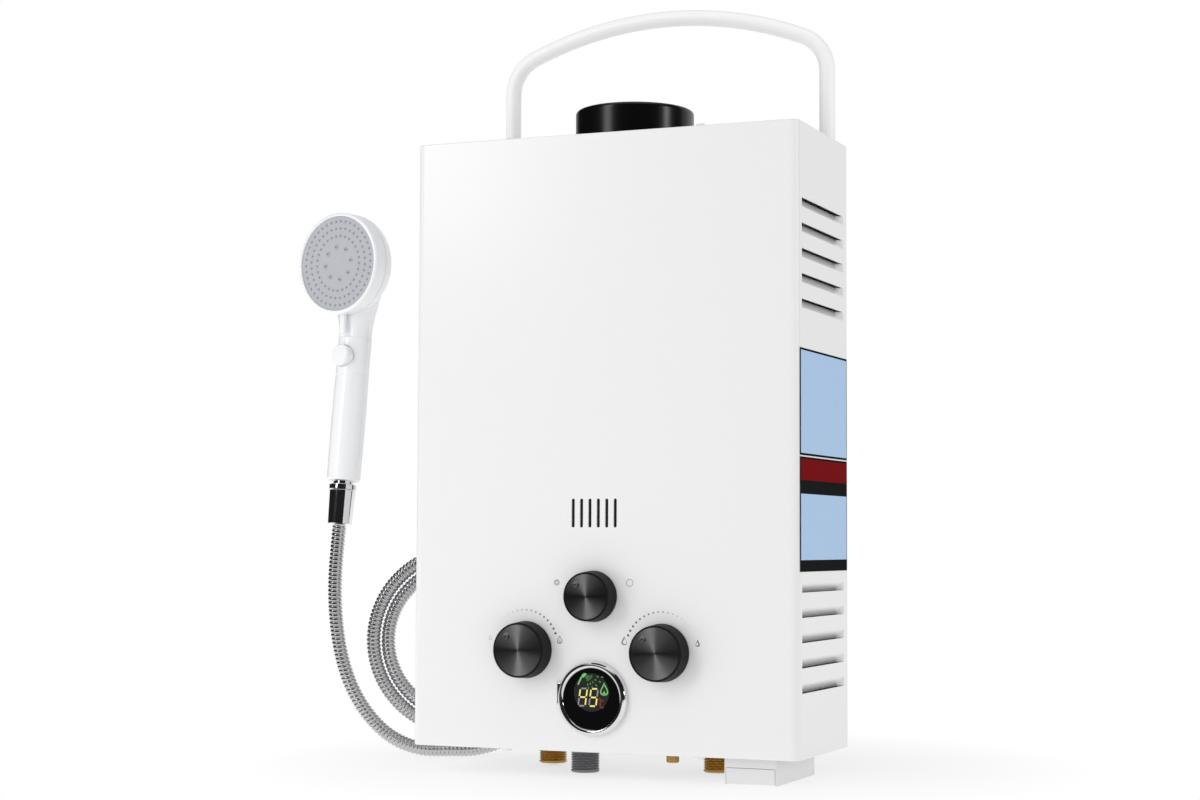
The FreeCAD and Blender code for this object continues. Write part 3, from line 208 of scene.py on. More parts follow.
def ranged(tree, source, start, end, least=0.0, most=1.0, smooth=False):
    """Socket whose value runs from least to most while the source's runs from start to end."""
    span = tree.nodes.new("ShaderNodeMapRange")
    span.interpolation_type = "SMOOTHSTEP" if smooth else "LINEAR"
    for key, value in (("From Min", start), ("From Max", end), ("To Min", least), ("To Max", most)):
        span.inputs[key].default_value = value
    tree.links.new(source, span.inputs["Value"])
    return span.outputs["Result"]


def finish(name, colour, rough, metal=0.0, mottle=0.05, grain=1500.0, depth=1e-5, coat=0.0,
           specular=0.5):
    """Material: base colour and roughness vary by mottle with a noise, and a finer noise lifts depth."""
    coarser = 12
    least_rough = 0.02
    material = bpy.data.materials.new(name)
    material.use_nodes = True
    tree = material.node_tree
    nodes, links = tree.nodes, tree.links
    shader = nodes["Principled BSDF"]
    shader.inputs["Metallic"].default_value = metal
    shader.inputs["Coat Weight"].default_value = coat
    shader.inputs["Specular IOR Level"].default_value = specular
    place = nodes.new("ShaderNodeTexCoord")
    cloud = nodes.new("ShaderNodeTexNoise")
    cloud.inputs["Scale"].default_value = grain / coarser
    links.new(place.outputs["Object"], cloud.inputs["Vector"])
    tint = nodes.new("ShaderNodeMix")
    tint.data_type = "RGBA"
    tint.inputs["A"].default_value = (*[c * (1 - mottle) for c in colour], 1)
    tint.inputs["B"].default_value = (*[min(1.0, c * (1 + mottle)) for c in colour], 1)
    links.new(cloud.outputs["Fac"], tint.inputs["Factor"])
    links.new(tint.outputs["Result"], shader.inputs["Base Color"])
    smoothest, roughest = max(least_rough, rough * (1 - 3 * mottle)), rough * (1 + 3 * mottle)
    links.new(ranged(tree, cloud.outputs["Fac"], 0, 1, smoothest, roughest), shader.inputs["Roughness"])
    fine = nodes.new("ShaderNodeTexNoise")
    fine.inputs["Scale"].default_value = grain
    links.new(place.outputs["Object"], fine.inputs["Vector"])
    bump = nodes.new("ShaderNodeBump")
    bump.inputs["Strength"].default_value = 0.5
    bump.inputs["Distance"].default_value = depth
    links.new(fine.outputs["Fac"], bump.inputs["Height"])
    links.new(bump.outputs["Normal"], shader.inputs["Normal"])
    return material


def paint(piece, material):
    """The piece wears one material."""
    piece.data.materials.clear()
    piece.data.materials.append(material)


def dress(material, *names):
    """CAD nodes wear a material."""
    for name in names:
        paint(frame["nodes"][name], material)


hose_line = spline_line("hose_route", np.vstack([hose_points(*np.transpose(lead_route)), coil_points()]))
hose_run = float(np.sum(np.linalg.norm(np.diff(hose_line, axis=0), axis=1)))
centres, stations = evenly(hose_line, int(hose_run / rib_pitch) * rows_per_rib)
tangents = np.gradient(centres, axis=0)
tangents /= np.linalg.norm(tangents, axis=1)[:, None]
plane_normal = np.array([-math.sin(hose_turn), math.cos(hose_turn), 0.0])
sideways = np.cross(tangents, plane_normal)
sideways /= np.linalg.norm(sideways, axis=1)[:, None]
binormal = np.cross(sideways, tangents)
around = np.linspace(0, 2 * np.pi, hose_sides, endpoint=False)[None, :]
# Radius: full, less a groove one strip edge wide that winds once round per pitch.
phase = (stations[:, None] / rib_pitch - around / (2 * np.pi)) % 1.0
radius = hose_radius - rib_groove * np.exp(-((phase - 0.5) / groove_share) ** 2)
tube = (centres[:, None, :] + radius[..., None] * (np.cos(around)[..., None] * sideways[:, None, :]
                                                   + np.sin(around)[..., None] * binormal[:, None, :]))
hose = skin("shower_hose", [tube], sharp=60.0)
paint(hose, finish("hose_steel", (0.57, 0.57, 0.58), 0.24, metal=1.0, mottle=0.04))
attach(hose, "heater")
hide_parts("shower_hose_lead", "shower_hose_coil")
chrome = finish("bright_chrome", (0.80, 0.80, 0.82), 0.08, metal=1.0, mottle=0.01, grain=600, depth=3e-6)
dress(chrome, "hose_end_nut", "handset_nut")
hose_points(*lead_route[0]).tolist()

# Casing: folded sheet steel with a gloss white powder coat, louvres and flame slots pressed in it.
# The closing plates, back and brackets are bare zinc-coated sheet, screwed to the cover's flanges.
enamel = finish("white_enamel", (0.84, 0.84, 0.845), 0.20, mottle=0.006, grain=700, depth=8e-6)
dress(enamel, "front_cover", "cover_screws")
zinc = finish("galvanised_steel", (0.60, 0.61, 0.63), 0.42, metal=0.85, mottle=0.10, grain=500, depth=3e-5)
dress(zinc, "back_plate", "top_plate", "bottom_plate", "wall_brackets")

# Carry handle: bent steel tube in a white coat, which folds down behind the casing. Its white is set
# brighter than the casing's as painted light, standing for the brighter light that falls on it. It turns
# on two zinc-plated screws in cheek brackets of bare sheet at the casing's back.
# Brighter white than the casing's: painted light on the handle.
dress(finish("handle_enamel_painted_light", (0.97, 0.97, 0.975), 0.34, mottle=0.006, grain=800), "carry_handle")
dress(finish("screw_zinc", (0.66, 0.66, 0.67), 0.25, metal=1.0), "handle_pivot_screws")
dress(zinc, "handle_brackets")

# Flue: pressed steel collar in gloss black heat-proof enamel, flanged onto the top plate. The hood
# below it is bare sheet and gathers the burnt gas over the heat exchanger.
dress(finish("black_enamel", (0.003, 0.003, 0.003), 0.25, grain=500), "flue_collar")
dress(zinc, "flue_hood")

# Knobs: satin black moulded cups with turned metal faces, each pressed on a flatted brass spindle.
# The face shines in a bow tie, because its grooves run round the middle.
knob_plastic = finish("black_plastic", (0.011, 0.011, 0.010), 0.50, grain=2500, specular=0.08)
brass = finish("brass", (0.50, 0.32, 0.10), 0.28, metal=1.0, mottle=0.08, grain=1200, depth=2e-5)
pointer_turn = math.radians(40.0)
pointer_from_edge = 0.0046
pointer_radius = 0.0025
pointer_slope = 1.4


def spun_face(name, node):
    """Dark turned metal: highlight drawn out across the grooves, tangent (x, 0, z) about the centre."""
    low, high = (np.array(corner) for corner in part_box(node))
    middle = (low + high) / 2
    material = finish(name, (0.24, 0.24, 0.243), 0.42, metal=1.0, mottle=0.04, grain=1800, depth=3e-6)
    nodes, links = material.node_tree.nodes, material.node_tree.links
    shader = nodes["Principled BSDF"]
    place = nodes.new("ShaderNodeTexCoord")

    def vector_step(operation, source, value=(0, 0, 0)):
        """Sockets of a vector sum on a source and a fixed vector."""
        step = nodes.new("ShaderNodeVectorMath")
        step.operation = operation
        links.new(source, step.inputs[0])
        step.inputs[1].default_value = value
        return step.outputs

    centred = vector_step("SUBTRACT", place.outputs["Object"], middle)["Vector"]
    flat = vector_step("MULTIPLY", centred, (1, 0, 1))["Vector"]
    links.new(vector_step("NORMALIZE", flat)["Vector"], shader.inputs["Tangent"])
    # Dimple by the edge: inside it the normal leans to its middle by the share of the way to its rim.
    reach = (high[0] - low[0]) / 2 - pointer_from_edge
    dip = middle + reach * np.array([-math.sin(pointer_turn), 0, math.cos(pointer_turn)])
    off = vector_step("SUBTRACT", place.outputs["Object"], dip)["Vector"]
    steepness = pointer_slope / pointer_radius
    inward = vector_step("MULTIPLY", off, (-steepness, 0, -steepness))["Vector"]
    posed = nodes.new("ShaderNodeVectorTransform")
    posed.vector_type = "NORMAL"
    posed.convert_from, posed.convert_to = "OBJECT", "WORLD"
    links.new(vector_step("ADD", inward, (0, -1, 0))["Vector"], posed.inputs["Vector"])
    inside = nodes.new("ShaderNodeMath")
    inside.operation = "LESS_THAN"
    inside.inputs[1].default_value = pointer_slope
    links.new(vector_step("LENGTH", inward)["Value"], inside.inputs[0])
    normal = nodes.new("ShaderNodeMix")
    normal.data_type = "VECTOR"
    links.new(inside.outputs["Value"], normal.inputs["Factor"])
    links.new(nodes["Bump"].outputs["Normal"], normal.inputs["A"])
    links.new(posed.outputs["Vector"], normal.inputs["B"])
    links.new(normal.outputs["Result"], shader.inputs["Normal"])
    # The dimple is struck, not turned, so it has no grooves.
    grooved = ranged(material.node_tree, inside.outputs["Value"], 0, 1, 1, 0)
    links.new(grooved, shader.inputs["Anisotropic"])
    return material


for dial in ("gas", "season", "water"):
    dress(knob_plastic, dial + "_knob")
    dress(spun_face("spun_" + dial, dial + "_knob_disc"), dial + "_knob_disc")
    dress(brass, dial + "_spindle")

# Dial marks: thin grey ink on the enamel, with a row of dots that fade away over each side knob and
# plain outlined signs for flame, water, winter and summer. Each flame or drop is given by its middle,
# width, height and line, and some by a shift that makes one side thicker.
front_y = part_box("front_cover")[0][1]
ink_height = 0.00006
ink_dark, ink_pale, ink_faint = (0.11, 0.11, 0.115), (0.30, 0.30, 0.31), (0.58, 0.58, 0.59)
dot_small, dot_large, dot_sides = 0.00048, 0.00084, 14
gas_dots = {"centre": (-0.05755, -0.14706), "r": 0.02633, "start": -44.4, "step": 8.0, "count": 15}
water_dots = {"centre": (0.04721, -0.14758), "r": 0.02689, "start": -67.8, "step": 7.85, "count": 17}
gas_dots_pale_x, gas_dots_dark_x = -0.077, -0.034
water_dots_pale_x, water_dots_dark_x = 0.071, 0.023
flame_sign = [(-0.0300, -0.1413, 0.0043, 0.0062, 0.0006), (-0.0300, -0.1426, 0.0018, 0.0028, 0.0004)]
small_flame_sign = (-0.08445, -0.1410, 0.0027, 0.0038, 0.00045)
drop_signs = [(0.0194, -0.1411, 0.0041, 0.0063, 0.00055, 0.00035),
              (0.0742, -0.1417, 0.0030, 0.0049, 0.0006, -0.00030)]
winter_x, winter_z = -0.0325, -0.10106
winter_reach, winter_outer, winter_inner = 0.00155, 0.00080, 0.00036
summer_x, summer_z = 0.0234, -0.1008
summer_radius, summer_scallop, summer_lobes, summer_line = 0.00252, 0.00022, 9, 0.00042


def at_depth(outline, y):
    """Outline of (x, z) points, set at one depth."""
    return np.insert(np.asarray(outline, float), 1, y, axis=1)


def prisms(name, outlines, y, height, material):
    """Closed outlines of (x, z) points, raised from y towards the viewer by height, as one piece."""
    piece = skin(name, [np.stack([at_depth(outline, y), at_depth(outline, y - height)])
                        for outline in outlines])
    paint(piece, material)
    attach(piece, "heater")


def hoops(name, pairs, y, height, material):
    """Flat loops: each pair gives equally many points of its outer and of its inner outline."""
    piece = skin(name, [np.stack([at_depth(outer, y), at_depth(outer, y - height),
                                  at_depth(inner, y - height), at_depth(inner, y)])
                        for outer, inner in pairs], closed_along=True)
    paint(piece, material)
    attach(piece, "heater")


def ring_points(x, z, r, count=24):
    """Circle: x + r cos t, z + r sin t. The radius may be an array with one value for each point."""
    t = np.linspace(0, 2 * np.pi, count, endpoint=False)
    return np.column_stack([x + r * np.cos(t), z + r * np.sin(t)])


def drop_points(x, z, width, height):
    """Drop: across it 0.77 width sin t sin(t/2)^2, and up it half the height times cos t."""
    t = np.linspace(0, 2 * np.pi, 36, endpoint=False)
    return np.column_stack([x + 0.77 * width * np.sin(t) * np.sin(t / 2) ** 2, z + height / 2 * np.cos(t)])


def drop_pair(x, z, width, height, line, shift=0.0):
    """Outlined drop: a drop and one in it that is smaller by the line, moved sideways by shift."""
    return (drop_points(x, z, width, height),
            drop_points(x + shift, z - line * 0.5, width - 2 * line, height - 3.2 * line))


def dot_arc(centre, r, start, step, count, first_size, last_size):
    """Dots at even angles from the vertical, seen from the front; their radius changes along the row."""
    angles = np.radians(start + step * np.arange(count))
    sizes = np.linspace(first_size, last_size, count)
    return [ring_points(centre[0] + r * math.sin(a), centre[1] + r * math.cos(a), size, dot_sides)
            for a, size in zip(angles, sizes)]


def dial_ink(name, colour):
    """Matt ink, a little uneven."""
    return finish(name, colour, 0.5, mottle=0.08, grain=2500, depth=4e-6, specular=0.2)


def fading_ink(name, x_pale, x_dark):
    """Ink whose colour runs from almost that of the enamel at one x to dark grey at another."""
    material = dial_ink(name, ink_dark)
    nodes, links = material.node_tree.nodes, material.node_tree.links
    place = nodes.new("ShaderNodeTexCoord")
    split = nodes.new("ShaderNodeSeparateXYZ")
    links.new(place.outputs["Object"], split.inputs["Vector"])
    fade = nodes.new("ShaderNodeValToRGB")
    fade.color_ramp.elements[0].color = (0.80, 0.80, 0.81, 1)
    fade.color_ramp.elements[1].color = (0.09, 0.09, 0.10, 1)
    fade.color_ramp.elements.new(0.5).color = (0.34, 0.34, 0.35, 1)
    links.new(ranged(material.node_tree, split.outputs["X"], x_pale, x_dark), fade.inputs["Fac"])
    links.new(fade.outputs["Color"], nodes["Principled BSDF"].inputs["Base Color"])
    return material


pale_ink = dial_ink("dial_ink_pale", ink_pale)
prisms("gas_dial_dots", dot_arc(**gas_dots, first_size=dot_small, last_size=dot_large), front_y,
       ink_height, fading_ink("gas_dot_ink", gas_dots_pale_x, gas_dots_dark_x))
prisms("water_dial_dots", dot_arc(**water_dots, first_size=dot_large, last_size=dot_small), front_y,
       ink_height, fading_ink("water_dot_ink", water_dots_pale_x, water_dots_dark_x))
hoops("dial_flame", [drop_pair(*drop) for drop in flame_sign], front_y, ink_height, pale_ink)
hoops("dial_flame_small", [drop_pair(*small_flame_sign)], front_y, ink_height,
      dial_ink("dial_ink_faint", ink_faint))
hoops("dial_drops", [drop_pair(*drop) for drop in drop_signs], front_y, ink_height,
      dial_ink("dial_ink", ink_dark))
winter_places = [(winter_x + winter_reach * math.cos(a), winter_z + winter_reach * math.sin(a))
                 for a in np.radians(np.arange(30, 390, 60))]
hoops("winter_sign", [(ring_points(x, z, winter_outer, 12), ring_points(x, z, winter_inner, 12))
                      for x, z in winter_places], front_y, ink_height, pale_ink)
summer_turn = np.linspace(0, 2 * np.pi, 96, endpoint=False)
summer_edge = summer_radius + summer_scallop * np.abs(np.sin(summer_lobes / 2 * summer_turn))
hoops("summer_sign", [(ring_points(summer_x, summer_z, summer_edge, 96),
                       ring_points(summer_x, summer_z, summer_edge - summer_line, 96))], front_y,
      ink_height, pale_ink)

# Side plates: two thin printed plates stuck on the right side. The upper one is pale blue in a dark
# frame, and the lower one has a red band, a black band and a pale blue field.
side_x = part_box("front_cover")[1][0]
plate_near, plate_far = -0.133, -0.021
upper_low, upper_high = -0.0120, 0.0620
lower_low, lower_high = -0.0920, -0.0130
red_low = -0.0290
field_low, field_high = -0.0840, -0.0385
frame_width = 0.0015
plate_lift = 0.0002
print_lift = 0.0003


def side_plate(name, z0, z1, inset, lift, material):
    """Flat plate on the right side between two heights, inset from the plates' common outline."""
    y0, y1 = plate_near + inset, plate_far - inset
    grid = np.array([[(x, y0, z0), (x, y1, z0), (x, y1, z1), (x, y0, z1)]
                     for x in (side_x, side_x + lift)])
    piece = skin(name, [grid])
    paint(piece, material)
    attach(piece, "heater")


plate_dark = finish("plate_dark", (0.014, 0.014, 0.014), 0.45, depth=5e-6, specular=0.0)
plate_blue = finish("plate_blue", (0.38, 0.57, 0.82), 0.45, mottle=0.02, depth=5e-6)
plate_red = finish("plate_red", (0.19, 0.009, 0.011), 0.45, mottle=0.04, depth=5e-6, specular=0.0)
side_plate("side_plate_upper_frame", upper_low, upper_high, 0.0, plate_lift, plate_dark)
side_plate("side_plate_upper_field", upper_low + frame_width, upper_high - frame_width, frame_width,
           print_lift, plate_blue)
side_plate("side_plate_lower_frame", lower_low, lower_high, 0.0, plate_lift, plate_dark)
side_plate("side_plate_lower_band", red_low, lower_high - frame_width, frame_width, print_lift, plate_red)
side_plate("side_plate_lower_field", field_low, field_high, frame_width, print_lift, plate_blue)

# Temperature display: chrome ring over a black lens. The lit signs lie under the lens's face on the
# real one and on it here: a spray, a flame, two seven-segment figures and a degree sign.
lens_low, lens_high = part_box("display_lens")
lens_x, lens_z = (lens_low[0] + lens_high[0]) / 2, (lens_low[2] + lens_high[2]) / 2
lens_y = lens_low[1]
film = 0.00008
window_x, window_z, window_radius = lens_x + 0.0002, lens_z + 0.0046, 0.0134
figure_width = 0.0053
figure_height = 0.0121
figure_lefts = (lens_x - 0.00988, lens_x - 0.00168)
figure_foot = lens_z - 0.0049
stroke = 0.0011
stroke_trim = 0.65
slant = 0.137
stroke_ends = {"a": (0, 1, 1, 1), "b": (1, 1, 1, 0.5), "c": (1, 0.5, 1, 0), "d": (0, 0, 1, 0),
               "e": (0, 0.5, 0, 0), "f": (0, 1, 0, 0.5), "g": (0, 0.5, 1, 0.5)}
four, five = "fgbc", "afgcd"
spray_head = np.array([lens_x - 0.0045, lens_z + 0.0162])
sign_handle = (lens_x - 0.0101, lens_z + 0.0098, lens_x - 0.0074, lens_z + 0.0153)
sign_head = np.array([(-0.0077, 0.0146), (-0.0070, 0.0170), (-0.0052, 0.0180), (-0.0037, 0.0178),
                      (-0.0039, 0.0166), (-0.0056, 0.0150)]) + (lens_x, lens_z)
dash_length = 0.0015
dash_width = 0.0008
# Dashes: how far from the head they start, by the angle of their row from the horizontal.
dash_rows = {-3: (0.0085, 0.0121), -20: (0.0074, 0.0110), -38: (0.0064, 0.0098), -56: (0.0060, 0.0090),
             -74: (0.0058, 0.0082)}
# Petals: middle, length, width and turn from the horizontal.
petal_line = 0.00045
petals = [(lens_x - 0.0032, lens_z + 0.0154, 0.0034, 0.0014, 52),
          (lens_x - 0.0013, lens_z + 0.0146, 0.0056, 0.0017, 42)]
lit_flame = (lens_x + 0.00985, lens_z + 0.0074, 0.0061, 0.0096, 0.0009)
flame_core = (lens_x + 0.00985, lens_z + 0.0044, 0.0023, 0.0039)
letter_x, letter_z = lens_x + 0.0084, lens_z - 0.0033
letter_half_width, letter_half_height = 0.0016, 0.0026
degree_x, degree_z = lens_x + 0.0063, lens_z + 0.0001
degree_outer, degree_inner = 0.0009, 0.0004


def glowing(name, colour, strength):
    """Dark ink that gives its own light; on the unlit strokes this is a painted glow."""
    material = finish(name, colour, 0.4, mottle=0.02, grain=900, depth=2e-6)
    shader = material.node_tree.nodes["Principled BSDF"]
    shader.inputs["Emission Color"].default_value = (*colour, 1)
    shader.inputs["Emission Strength"].default_value = strength
    return material


def bar_points(x0, z0, x1, z1, thick):
    """Straight stroke: both ends of a line, each moved to both sides by half the thickness."""
    way = np.array([x1 - x0, z1 - z0])
    off = np.array([-way[1], way[0]]) / np.linalg.norm(way) * thick / 2
    a, b = np.array([x0, z0]), np.array([x1, z1])
    return np.array([a - off, b - off, b + off, a + off])


def figure_stroke(x, key):
    """One stroke of a figure with its lower left corner at x and the foot, leaning right by the slant."""
    u0, v0, u1, v1 = stroke_ends[key]
    way = np.array([(u1 - u0) * figure_width, (v1 - v0) * figure_height])
    trim = way / np.linalg.norm(way) * stroke * stroke_trim
    a = np.array([u0 * figure_width, v0 * figure_height]) + trim
    b = np.array([u1 * figure_width, v1 * figure_height]) - trim
    points = bar_points(*a, *b, stroke)
    points[:, 0] += slant * points[:, 1]
    return points + (x, figure_foot)


def petal(x, z, length, width, turn):
    """Outlined oval: half the length times cos t and half the width times sin t, turned by an angle."""
    t = np.linspace(0, 2 * np.pi, 24, endpoint=False)
    c, n = math.cos(math.radians(turn)), math.sin(math.radians(turn))
    pair = []
    for inset in (0, petal_line):
        u, v = (length / 2 - inset) * np.cos(t), (width / 2 - inset) * np.sin(t)
        pair.append(np.column_stack([x + u * c - v * n, z + u * n + v * c]))
    return pair


def dash(turn, start):
    """Short stroke away from the spray's head, at an angle from the horizontal."""
    way = np.array([math.cos(math.radians(turn)), math.sin(math.radians(turn))])
    return bar_points(*(spray_head + way * start), *(spray_head + way * (start + dash_length)), dash_width)


dress(chrome, "display_bezel")
dress(finish("lens_black", (0.003, 0.003, 0.003), 0.06, mottle=0.01, grain=300, depth=1e-6,
             specular=0.4), "display_lens")
prisms("display_window", [ring_points(window_x, window_z, window_radius, 64)], lens_y, film * 0.5,
       glowing("window_grey", (0.009, 0.0085, 0.009), 0.2))
figures = list(zip(figure_lefts, (four, five)))
lit = [figure_stroke(x, key) for x, strokes in figures for key in strokes]
unlit = [figure_stroke(x, key) for x, strokes in figures for key in stroke_ends if key not in strokes]
prisms("display_figures", lit, lens_y, film, glowing("lit_yellow", (0.52, 0.46, 0.12), 0.8))
# The unlit strokes give off a faint grey glow of their own: painted light, since they are not lit.
prisms("display_unlit", unlit, lens_y, film * 0.9, glowing("unlit_grey_painted_glow", (0.22, 0.21, 0.23), 0.25))
green = glowing("lit_green", (0.095, 0.31, 0.09), 0.8)
dim_green = glowing("lit_green_dim", (0.04, 0.17, 0.04), 0.8)
red = glowing("lit_red", (0.165, 0.009, 0.005), 0.9)
prisms("display_handset", [bar_points(*sign_handle, stroke), sign_head], lens_y, film, green)
# Spray: two outlined petals by the head, and rows of short dashes away from it.
prisms("display_spray", [dash(turn, start) for turn, starts in dash_rows.items() for start in starts],
       lens_y, film, dim_green)
hoops("display_petals", [petal(*place) for place in petals], lens_y, film, dim_green)
hoops("display_flame", [drop_pair(*lit_flame)], lens_y, film, green)
prisms("display_flame_core", [drop_points(*flame_core)], lens_y, film, green)
# Degree sign: an open curve in short strokes, and a small ring at its upper left.
bend = np.radians(np.linspace(50, 310, 20))
curve = np.column_stack([letter_x + letter_half_width * np.cos(bend),
                         letter_z + letter_half_height * np.sin(bend)])
prisms("display_degree", [bar_points(*a, *b, dash_width) for a, b in zip(curve, curve[1:])], lens_y, film,
       red)
hoops("display_degree_ring", [(ring_points(degree_x, degree_z, degree_outer),
                               ring_points(degree_x, degree_z, degree_inner))], lens_y, film, red)

# Pipe nipples: the gas one is a grey die casting and the water ones and drain are brass. Their
# half-inch threads of 1.814 mm pitch are cut here, with crests at the solid's radius.
thread_pitch = 0.001814
thread_depth = 0.00116
thread_crest = 0.01048
thread_rows = 96
run_out_rows = 8
lead_in = 0.001
relief_height, relief_depth = 0.0012, 0.0015
nipple_bore = 0.0065
nipple_neck = 0.009
nipple_sides = 64
nut_radius, nut_height = 0.012, 0.008
nut_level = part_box("front_cover")[0][2] - 0.003
cast = finish("die_cast", (0.30, 0.30, 0.31), 0.45, metal=0.9, mottle=0.10, depth=5e-5)


def threaded(name, node, material):
    """Nipple: profile radius by height, less depth times a triangle wave of (z / pitch - angle)."""
    low, high = (np.array(corner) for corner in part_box(node))
    cx, cy = (low[:2] + high[:2]) / 2
    end, relief = low[2], nut_level - relief_height
    thread = np.linspace(end + lead_in, relief, thread_rows)
    foot = [high[2], end, end]
    heights = np.concatenate([foot, thread,
                              [relief, nut_level, nut_level, nut_level + nut_height,
                               nut_level + nut_height, high[2]]])
    radii = np.concatenate([[nipple_bore, nipple_bore, thread_crest - lead_in],
                            np.full(thread_rows, thread_crest),
                            [thread_crest - relief_depth, thread_crest - relief_depth, nut_radius,
                             nut_radius, nipple_neck, nipple_neck]])
    row = np.arange(thread_rows)
    cut = np.zeros(len(heights))
    run_out = np.clip(np.minimum(row, row[::-1]) / run_out_rows, 0, 1)
    cut[len(foot):len(foot) + thread_rows] = thread_depth * run_out
    angle = np.linspace(0, 2 * np.pi, nipple_sides, endpoint=False)[None, :]
    wave = np.abs(2 * ((heights[:, None] / thread_pitch - angle / (2 * np.pi)) % 1.0) - 1)
    r = radii[:, None] - cut[:, None] * wave
    points = np.stack([cx + r * np.cos(angle), cy + r * np.sin(angle),
                       np.broadcast_to(heights[:, None], r.shape)], -1)
    piece = skin(name, [points], closed_along=True, sharp=50.0)
    paint(piece, material)
    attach(piece, "heater")
    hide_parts(node)


threaded("gas_nipple", "gas_inlet", cast)
threaded("cold_nipple", "cold_inlet", brass)
threaded("hot_nipple", "hot_outlet", brass)
dress(brass, "drain_plug")

# Heat train behind the cover: brass and cast valves, copper heat exchanger and water pipes, steel
# burner bars in a sheet frame, an aluminium gas manifold, ceramic spark and flame rods and plastic
# modules. Little of it shows, through the slots, the mica window and the flue.
dress(brass, "water_valve")
dress(cast, "gas_valve")
dress(zinc, "burner_frame")
dress(finish("copper", (0.62, 0.30, 0.16), 0.32, metal=1.0, mottle=0.12, grain=400, depth=4e-5),
      "heat_exchanger_shell", "heat_exchanger_core", "cold_pipe", "hot_pipe")
dress(finish("stainless", (0.50, 0.50, 0.50), 0.35, metal=1.0, mottle=0.08, grain=600, depth=2e-5),
      "burner_bars")
dress(finish("aluminium", (0.66, 0.66, 0.68), 0.35, metal=1.0, grain=700, depth=2e-5), "gas_manifold")
dress(finish("module_plastic", (0.03, 0.03, 0.033), 0.5, mottle=0.06, depth=3e-5),
      "display_module", "spark_controller", "water_flow_switch", "overheat_thermostat")
dress(finish("ceramic", (0.80, 0.79, 0.75), 0.25, mottle=0.03, grain=900), "spark_electrode",
      "flame_sensor")
dress(finish("mica", (0.02, 0.018, 0.015), 0.15, mottle=0.2, grain=200), "flame_window")

# Battery box: white moulded box under the casing with a lid that swings down on its hinge. Two cells
# stand in it between plated contact strips.
dress(finish("white_plastic", (0.76, 0.76, 0.765), 0.35, mottle=0.01, grain=1800), "battery_box",
      "battery_lid")
dress(finish("cell_jacket", (0.18, 0.19, 0.20), 0.35, metal=0.3, grain=900), "battery_cells")
dress(finish("contact_strip", (0.70, 0.70, 0.71), 0.22, metal=1.0, grain=1200), "battery_contacts",
      "lid_contact")

# Handset: gloss white mouldings, with a pale blue-grey spray plate in a turning ring with a lever.
# Three rings of fine rubber nozzles stand on the plate round eight larger dark-tipped jets.
face_radius = 0.0398
face_recess = 0.0012
handset_turn = math.radians(-11.5)
face_axis = np.array([-math.sin(handset_turn), math.cos(handset_turn), 0.0])
face_side = np.array([math.cos(handset_turn), math.sin(handset_turn), 0.0])
face_up = np.array([0.0, 0.0, 1.0])
selector = next(j for j in frame["record"]["behaviour"]["joints"] if j["name"] == "spray_selector_turn")
face_centre = np.array(selector["pos_m"]) + face_axis * face_recess
nozzle_rings = [(0.83, 42), (0.69, 36), (0.54, 29)]
nozzle_radius, nozzle_height, nozzle_sides = 0.00095, 0.0009, 10
jet_ring = (0.3266, 8)
jet_radius, jet_height, jet_sides = 0.0011, 0.0010, 16
# The jets stand 45 degrees apart, and the first one 8 degrees to one side of the top.
jet_start = -8.0 / 45.0
stud_taper = 0.65


def studs(name, rings, r, height, sides, start, material):
    """Studs between a circle of radius r and a smaller one at their height, on rings of the spray plate.

    A ring is a share of the plate's radius and a count, and start is the first one's place in steps.
    """
    t = np.linspace(0, 2 * np.pi, sides, endpoint=False)[:, None]
    circle = r * (np.cos(t) * face_side + np.sin(t) * face_up)
    grids = []
    for share, count in rings:
        for turn in (np.arange(count) + start) * 2 * np.pi / count:
            outwards = math.sin(turn) * face_side + math.cos(turn) * face_up
            place = face_centre + share * face_radius * outwards
            grids.append(np.stack([place + circle, place + stud_taper * circle - height * face_axis]))
    piece = skin(name, grids)
    paint(piece, material)
    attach(piece, "spray_selector")


dress(finish("handset_white", (0.90, 0.91, 0.925), 0.22, mottle=0.008, grain=900, depth=6e-6, coat=0.3),
      "handset_head", "handset_valve_body", "handset_grip", "spray_ring", "stop_button")
dress(finish("spray_grey", (0.47, 0.48, 0.52), 0.42, mottle=0.02), "spray_plate")
studs("fine_nozzles", nozzle_rings, nozzle_radius, nozzle_height, nozzle_sides, 0.5,
      finish("nozzle_rubber", (0.36, 0.36, 0.38), 0.6, mottle=0.04, grain=2000))
studs("jet_tips", [jet_ring], jet_radius, jet_height, jet_sides, jet_start,
      finish("jet_dark", (0.20, 0.22, 0.24), 0.5, mottle=0.04, grain=2000))

# Studio: white floor that keeps the heater's shadow near it and runs out to plain white, six soft
# lamps and an even pale surround. Only the two strips among the lamps show in what shines.
floor_reach = 8.0
floor_z = cad_box[0][2]
floor_albedo = 0.96
white_near, white_from, white_to = 0.65, 0.25, 0.40
floor_dark, floor_dark_y, floor_white_y = 0.04, -0.50, -0.24
surround_grey = (0.575, 0.575, 0.58, 1)
room_dark = 0.02
room_whites = (("Y", 0.50, 0.90), ("Z", 0.75, 0.95))

